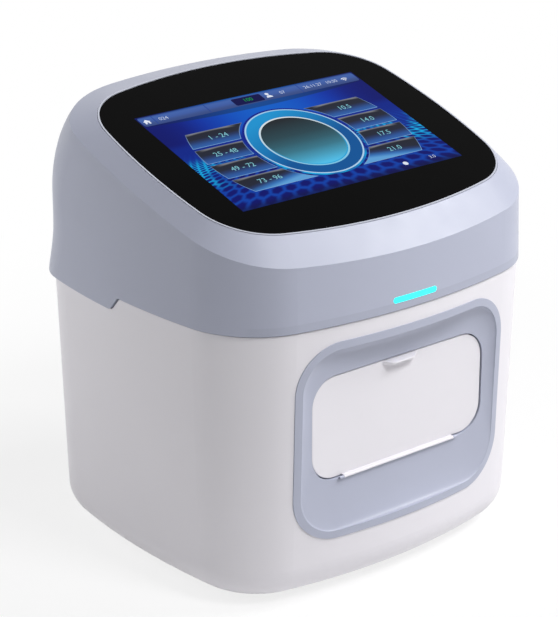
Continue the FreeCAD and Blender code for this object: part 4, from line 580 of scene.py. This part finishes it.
def bar_face():
    """Pale blue strip along the top of the display with a lit upper edge."""
    finish = lit("display_bar")
    u, v = finish.chart()
    face = finish.ramp(
        finish.spread(v, 54.4, 66.4, 0.0, 1.0),
        (0.0, screen_colour(52, 72, 128)),
        (0.3, screen_colour(58, 81, 141)),
        (0.55, screen_colour(62, 92, 163)),
        (0.85, screen_colour(65, 99, 170)),
        (1.0, screen_colour(52, 86, 160)),
    )
    aside = finish.soft_step(u.apply("ABSOLUTE"), 20.0, 100.0)
    edge = finish.mix(aside, screen_colour(22, 92, 176), screen_colour(38, 52, 110))
    return shown(finish, finish.mix(finish.soft_step(v, 66.0, 67.2), face, edge))


def plain_glow(name, colour):
    """One lit colour, as a back light shows it."""
    return shown(lit(name), colour)


def key_chart(index, u, v):
    """UVs of a key: across from its outer end to the dial, and up."""
    top, bottom = TILE_ROWS[index % 4]
    reach = abs(u - DIAL_MIDDLE[0])
    span = TILE_OUTER - 34.0
    return (TILE_OUTER - reach) / span, (v - bottom) / (top - bottom)


def figures(name, entries, layer, finish):
    """Plain numbers on the display: each entry is text, middle u, v, and height of the figures."""
    form = bmesh.new()
    for text, u, v, height in entries:
        curve = bpy.data.curves.new("number", "FONT")
        curve.body = text
        curve.align_x, curve.align_y = "CENTER", "CENTER"
        curve.size = height / 0.7
        curve.resolution_u = 3
        source = bpy.data.objects.new("number", curve)
        flat = bpy.data.meshes.new_from_object(source)
        start = len(form.verts)
        form.from_mesh(flat)
        form.verts.ensure_lookup_table()
        for vertex in form.verts[start:]:
            vertex.co = on_glass(u + vertex.co.x, v + vertex.co.y, layer)
        bpy.data.objects.remove(source)
        bpy.data.curves.remove(curve)
        bpy.data.meshes.remove(flat)
    display_piece(name, form, finish)


slip("display_ground", [rounded_outline(-109.2, 107.6, -69.7, 68.0, 0.6)], 1, night_plane())
slip("display_bar", [rounded_outline(-108.0, 106.4, 54.4, 67.2, 2.5)], 2, bar_face())
slip(
    "display_dividers",
    [rounded_outline(u - 0.4, u + 0.4, 54.9, 66.6, 0.1) for u in (-95.2, -45.0, 47.6)],
    3,
    plain_glow("display_divider", screen_colour(36, 66, 150)),
)
tab_face = plain_glow("display_tab_face", screen_colour(3, 3, 72))
slip("display_tab", [rounded_outline(-19.3, 9.3, 55.7, 65.4, 1.6)], 3, tab_face)
all_keys = [(side, top, bottom) for side in (-1, 1) for top, bottom in TILE_ROWS]
slip("display_key_edges", [tile_outline(*key) for key in all_keys], 2, key_edge(), key_chart)
upper = [key for key in all_keys if key[1:] != TILE_ROWS[-1]]
lower = [key for key in all_keys if key[1:] == TILE_ROWS[-1]]
slip(
    "display_keys", [tile_outline(*key, 0.55) for key in upper], 3, key_face("display_key", False),
    lambda index, u, v: key_chart(index % 3, u, v),
)
slip(
    "display_low_keys", [tile_outline(*key, 0.55) for key in lower], 3, key_face("display_low_key", True),
    lambda index, u, v: key_chart(3, u, v),
)
ring_slip("display_dial_shade", DIAL_RADIUS + 0.5, DIAL_RADIUS + 2.4, 2, dial_shade())
ring_slip("display_dial", WELL_RADIUS, DIAL_RADIUS, 4, dial_band())
ring_slip("display_outer_rim", DIAL_RADIUS - 0.7, DIAL_RADIUS + 0.6, 5, dial_rim(
    "display_outer_line", screen_colour(165, 205, 235), screen_colour(176, 210, 236)
))
ring_slip("display_inner_rim", WELL_RADIUS - 1.0, WELL_RADIUS + 0.5, 6, dial_rim(
    "display_inner_line", screen_colour(222, 228, 230), screen_colour(120, 196, 228)
))
slip(
    "display_well", [[on_circle(WELL_RADIUS - 0.6, math.radians(3 * i)) for i in range(120)]], 5, dial_well()
)
pale = plain_glow("display_figure", screen_colour(128, 196, 208))
figures("display_key_numbers", [
    ("1 - 24", -62.0, 23.6, 5.4),
    ("25 - 48", -71.0, 2.0, 5.4),
    ("49 - 72", -71.0, -19.6, 5.4),
    ("73 - 96", -62.0, -41.0, 5.4),
    ("10.5", 64.0, 23.6, 5.4),
    ("14.0", 70.0, 2.0, 5.4),
    ("17.5", 69.0, -19.6, 5.4),
    ("21.0", 62.0, -41.0, 5.4),
], 5, pale)
figures("display_bar_numbers", [
    ("024", -87.0, 60.4, 4.0),
    ("26.11.27", 61.0, 60.4, 3.8),
    ("10:30", 80.5, 60.4, 3.8),
    ("07", 29.5, 60.4, 3.8),
    ("3.0", 83.0, -62.0, 3.6),
], 5, plain_glow("display_bar_figure", screen_colour(196, 208, 232)))
green = plain_glow("display_green", screen_colour(14, 150, 60))
figures("display_tab_number", [("100", -5.0, 60.6, 4.4)], 5, green)
house = [
    (-106.0, 60.3), (-102.6, 63.4), (-99.2, 60.3), (-100.2, 60.3), (-100.2, 57.4), (-101.8, 57.4),
    (-101.8, 59.4), (-103.4, 59.4), (-103.4, 57.4), (-105.0, 57.4), (-105.0, 60.3),
]
person_head = [on_circle(1.7, math.radians(18 * i), (15.2, 62.6)) for i in range(20)]
person_body = [on_circle(3.0, math.radians(15 * i), (15.4, 57.6)) for i in range(13)]
waves = []
arc = [math.radians(45 + 9 * i) for i in range(11)]
for radius in (1.4, 3.0, 4.6):
    outer = [on_circle(radius, angle, (94.0, 57.6)) for angle in arc]
    inner = [on_circle(radius - 0.9, angle, (94.0, 57.6)) for angle in arc[::-1]]
    waves.append(outer + inner)
info_disc = [on_circle(2.3, math.radians(15 * i), (55.0, -62.0)) for i in range(24)]
slip(
    "display_marks", [house, person_head, person_body, info_disc] + waves, 5,
    plain_glow("display_mark", screen_colour(226, 232, 244)),
)

# Cross drives in the screw heads as small dark bars, painted shade standing in for the drive recesses, set out
# by geometry nodes
LARGEST_SCREW = 0.008
DRIVE_LENGTH = 0.0032
DRIVE_WIDTH = 0.0009
DRIVE_HEIGHT = 0.0002


def screw_faces(node_name):
    """Outer face middles and directions of the separate screws in a node."""
    form = bmesh.new()
    form.from_mesh(frame["nodes"][node_name].data)
    bmesh.ops.remove_doubles(form, verts=form.verts, dist=1e-6)
    left = set(form.verts)
    found = []
    while left:
        island, queue = [], [left.pop()]
        while queue:
            vertex = queue.pop()
            island.append(vertex.co.copy())
            for edge in vertex.link_edges:
                other = edge.other_vert(vertex)
                if other in left:
                    left.remove(other)
                    queue.append(other)
        low = Vector([min(co[i] for co in island) for i in range(3)])
        high = Vector([max(co[i] for co in island) for i in range(3)])
        size = high - low
        if max(size) > LARGEST_SCREW:
            continue
        axis = min(range(3), key=lambda i: size[i])
        facing = Vector([1.0 if i == axis else 0.0 for i in range(3)])
        middle = (low + high) / 2
        middle[axis] = high[axis]
        found.append((middle, facing))
    form.free()
    return found


def painted_drive_shade_tree():
    """Node tree: a cross of two small bars on each point, turned to the point's facing, dark as painted shade
    of a drive recess.
    """
    tree = bpy.data.node_groups.new("painted_drive_shade", "GeometryNodeTree")
    side = tree.interface
    side.new_socket("Geometry", in_out="INPUT", socket_type="NodeSocketGeometry")
    length = side.new_socket("Bar length", in_out="INPUT", socket_type="NodeSocketFloat")
    width = side.new_socket("Bar width", in_out="INPUT", socket_type="NodeSocketFloat")
    side.new_socket("Geometry", in_out="OUTPUT", socket_type="NodeSocketGeometry")
    nodes, links = tree.nodes, tree.links
    entry, leave = nodes.new("NodeGroupInput"), nodes.new("NodeGroupOutput")
    join = nodes.new("GeometryNodeJoinGeometry")
    for first, second in (("Bar length", "Bar width"), ("Bar width", "Bar length")):
        size = nodes.new("ShaderNodeCombineXYZ")
        links.new(entry.outputs[first], size.inputs[0])
        links.new(entry.outputs[second], size.inputs[1])
        size.inputs[2].default_value = DRIVE_HEIGHT
        bar = nodes.new("GeometryNodeMeshCube")
        links.new(size.outputs[0], bar.inputs["Size"])
        links.new(bar.outputs["Mesh"], join.inputs[0])
    facing = nodes.new("GeometryNodeInputNamedAttribute")
    facing.data_type = "FLOAT_VECTOR"
    facing.inputs["Name"].default_value = "facing"
    turn = nodes.new("FunctionNodeAlignEulerToVector")
    turn.axis = "Z"
    links.new(facing.outputs["Attribute"], turn.inputs["Vector"])
    place = nodes.new("GeometryNodeInstanceOnPoints")
    links.new(entry.outputs["Geometry"], place.inputs["Points"])
    links.new(join.outputs[0], place.inputs["Instance"])
    links.new(turn.outputs[0], place.inputs["Rotation"])
    real = nodes.new("GeometryNodeRealizeInstances")
    links.new(place.outputs[0], real.inputs[0])
    coat = nodes.new("GeometryNodeSetMaterial")
    # The dark finish on the bars is painted shade of the drive recesses.
    coat.inputs["Material"].default_value = finishes["dark"]
    links.new(real.outputs[0], coat.inputs["Geometry"])
    links.new(coat.outputs[0], leave.inputs[0])
    return tree, length.identifier, width.identifier


drive_tree, length_key, width_key = painted_drive_shade_tree()
for node_name, body in (("fasteners", "housing"), ("hinge_leaves_moving", "cover")):
    spots = screw_faces(node_name)
    points = bpy.data.meshes.new(node_name + "_spots")
    points.from_pydata([middle for middle, facing in spots], [], [])
    attribute = points.attributes.new("facing", "FLOAT_VECTOR", "POINT")
    for index, (middle, facing) in enumerate(spots):
        attribute.data[index].vector = facing
    source = bpy.data.objects.new(node_name + "_source", points)
    bpy.context.scene.collection.objects.link(source)
    modifier = source.modifiers.new("drives", "NODES")
    modifier.node_group = drive_tree
    modifier[length_key] = DRIVE_LENGTH
    modifier[width_key] = DRIVE_WIDTH
    graph = bpy.context.evaluated_depsgraph_get()
    baked = bpy.data.meshes.new_from_object(source.evaluated_get(graph))
    bpy.data.objects.remove(source)
    drives = bpy.data.objects.new(node_name + "_cross_drives", baked)
    bpy.context.scene.collection.objects.link(drives)
    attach(drives, body)

# Camera at the photograph's station
CAMERA_PLACE = Vector((-1035.0, -1252.0, 798.7)) * MM
CAMERA_AZIMUTH = -39.393
CAMERA_ELEVATION = 20.964
PHOTO_HEIGHT = 617
FOCAL_PIXELS = 2189.03

camera_data = bpy.data.cameras.new("camera")
camera_data.lens = FOCAL_PIXELS * camera_data.sensor_width / PHOTO_HEIGHT
camera = bpy.data.objects.new("camera", camera_data)
bpy.context.scene.collection.objects.link(camera)
azimuth, elevation = math.radians(CAMERA_AZIMUTH), math.radians(CAMERA_ELEVATION)
camera.rotation_euler = (math.pi / 2 - elevation, 0.0, azimuth)
camera.location = CAMERA_PLACE
bpy.context.scene.camera = camera


def soft_light(name, place, target, size, power):
    """An area lamp turned towards a target."""
    data = bpy.data.lights.new(name, "AREA")
    data.shape = "RECTANGLE"
    data.size, data.size_y = size
    data.energy = power
    lamp = bpy.data.objects.new(name, data)
    lamp.location = place
    lamp.rotation_euler = (Vector(target) - Vector(place)).to_track_quat("-Z", "Y").to_euler()
    bpy.context.scene.collection.objects.link(lamp)


MIDDLE = (0.0, 0.0, 0.18)
WORLD_LIGHT = 0.03
soft_light("high_right", (1.6, -0.92, 1.95), MIDDLE, (0.9, 0.9), 43.0)
soft_light("high_front", (0.29, -1.65, 2.17), MIDDLE, (0.7, 0.7), 39.0)
soft_light("back_left_down", (-1.0, 1.0, 0.7), (-1.0, 1.0, 0.0), (1.2, 1.2), 12.0)
soft_light("low_left", (-1.6, 0.7, 0.12), (0.0, 0.0, 0.12), (1.4, 0.24), 2.8)


def seen_rays(tree):
    """1 for rays from the camera, mirrored rays and rays through clear plastic."""
    rays = tree.nodes.new("ShaderNodeLightPath")
    found = rays.outputs["Is Camera Ray"]
    for kind in ("Is Glossy Ray", "Is Transmission Ray"):
        either = tree.nodes.new("ShaderNodeMath")
        either.operation = "MAXIMUM"
        tree.links.new(found, either.inputs[0])
        tree.links.new(rays.outputs[kind], either.inputs[1])
        found = either.outputs[0]
    return found


world = bpy.data.worlds.new("studio")
bpy.context.scene.world = world
world.use_nodes = True
tree = world.node_tree
tree.nodes.clear()
out = tree.nodes.new("ShaderNodeOutputWorld")
skies = []
for colour, strength in (((0.93, 0.95, 1.0, 1.0), WORLD_LIGHT), ((1.0, 1.0, 1.0, 1.0), 1.0)):
    sky = tree.nodes.new("ShaderNodeBackground")
    sky.inputs["Color"].default_value = colour
    sky.inputs["Strength"].default_value = strength
    skies.append(sky)
choose = tree.nodes.new("ShaderNodeMixShader")
tree.links.new(seen_rays(tree), choose.inputs[0])
tree.links.new(skies[0].outputs[0], choose.inputs[1])
tree.links.new(skies[1].outputs[0], choose.inputs[2])
tree.links.new(choose.outputs[0], out.inputs[0])

floor_mesh = bpy.data.meshes.new("floor")
grid = bmesh.new()
bmesh.ops.create_grid(grid, x_segments=1, y_segments=1, size=6.0)
grid.to_mesh(floor_mesh)
grid.free()
floor = bpy.data.objects.new("floor", floor_mesh)
bpy.context.scene.collection.objects.link(floor)
floor_finish = Finish("floor_paper", Roughness=0.9, Specular_IOR_Level=0.1)
floor_finish.set(Base_Color=floor_finish.mix(floor_finish.noise(3.0), (0.90, 0.90, 0.90), (0.92, 0.92, 0.92)))
floor_x, floor_y = floor_finish.axes(floor_finish.place())[:2]
reach = (floor_x * floor_x + floor_y * floor_y).apply("SQRT")
share = floor_finish.soft_step(reach, 0.25, 0.75) * 0.2 + 0.8
paper_tree = floor_finish.material.node_tree
white = paper_tree.nodes.new("ShaderNodeEmission")
blend = paper_tree.nodes.new("ShaderNodeMixShader")
floor_finish.feed(blend.inputs[0], share * Wire(floor_finish, seen_rays(paper_tree)))
paper_tree.links.new(floor_finish.shader.outputs[0], blend.inputs[1])
paper_tree.links.new(white.outputs[0], blend.inputs[2])
paper_tree.links.new(blend.outputs[0], floor_finish.nodes["Material Output"].inputs[0])
floor_mesh.materials.append(floor_finish.material)

bpy.context.scene.view_settings.view_transform = "Standard"
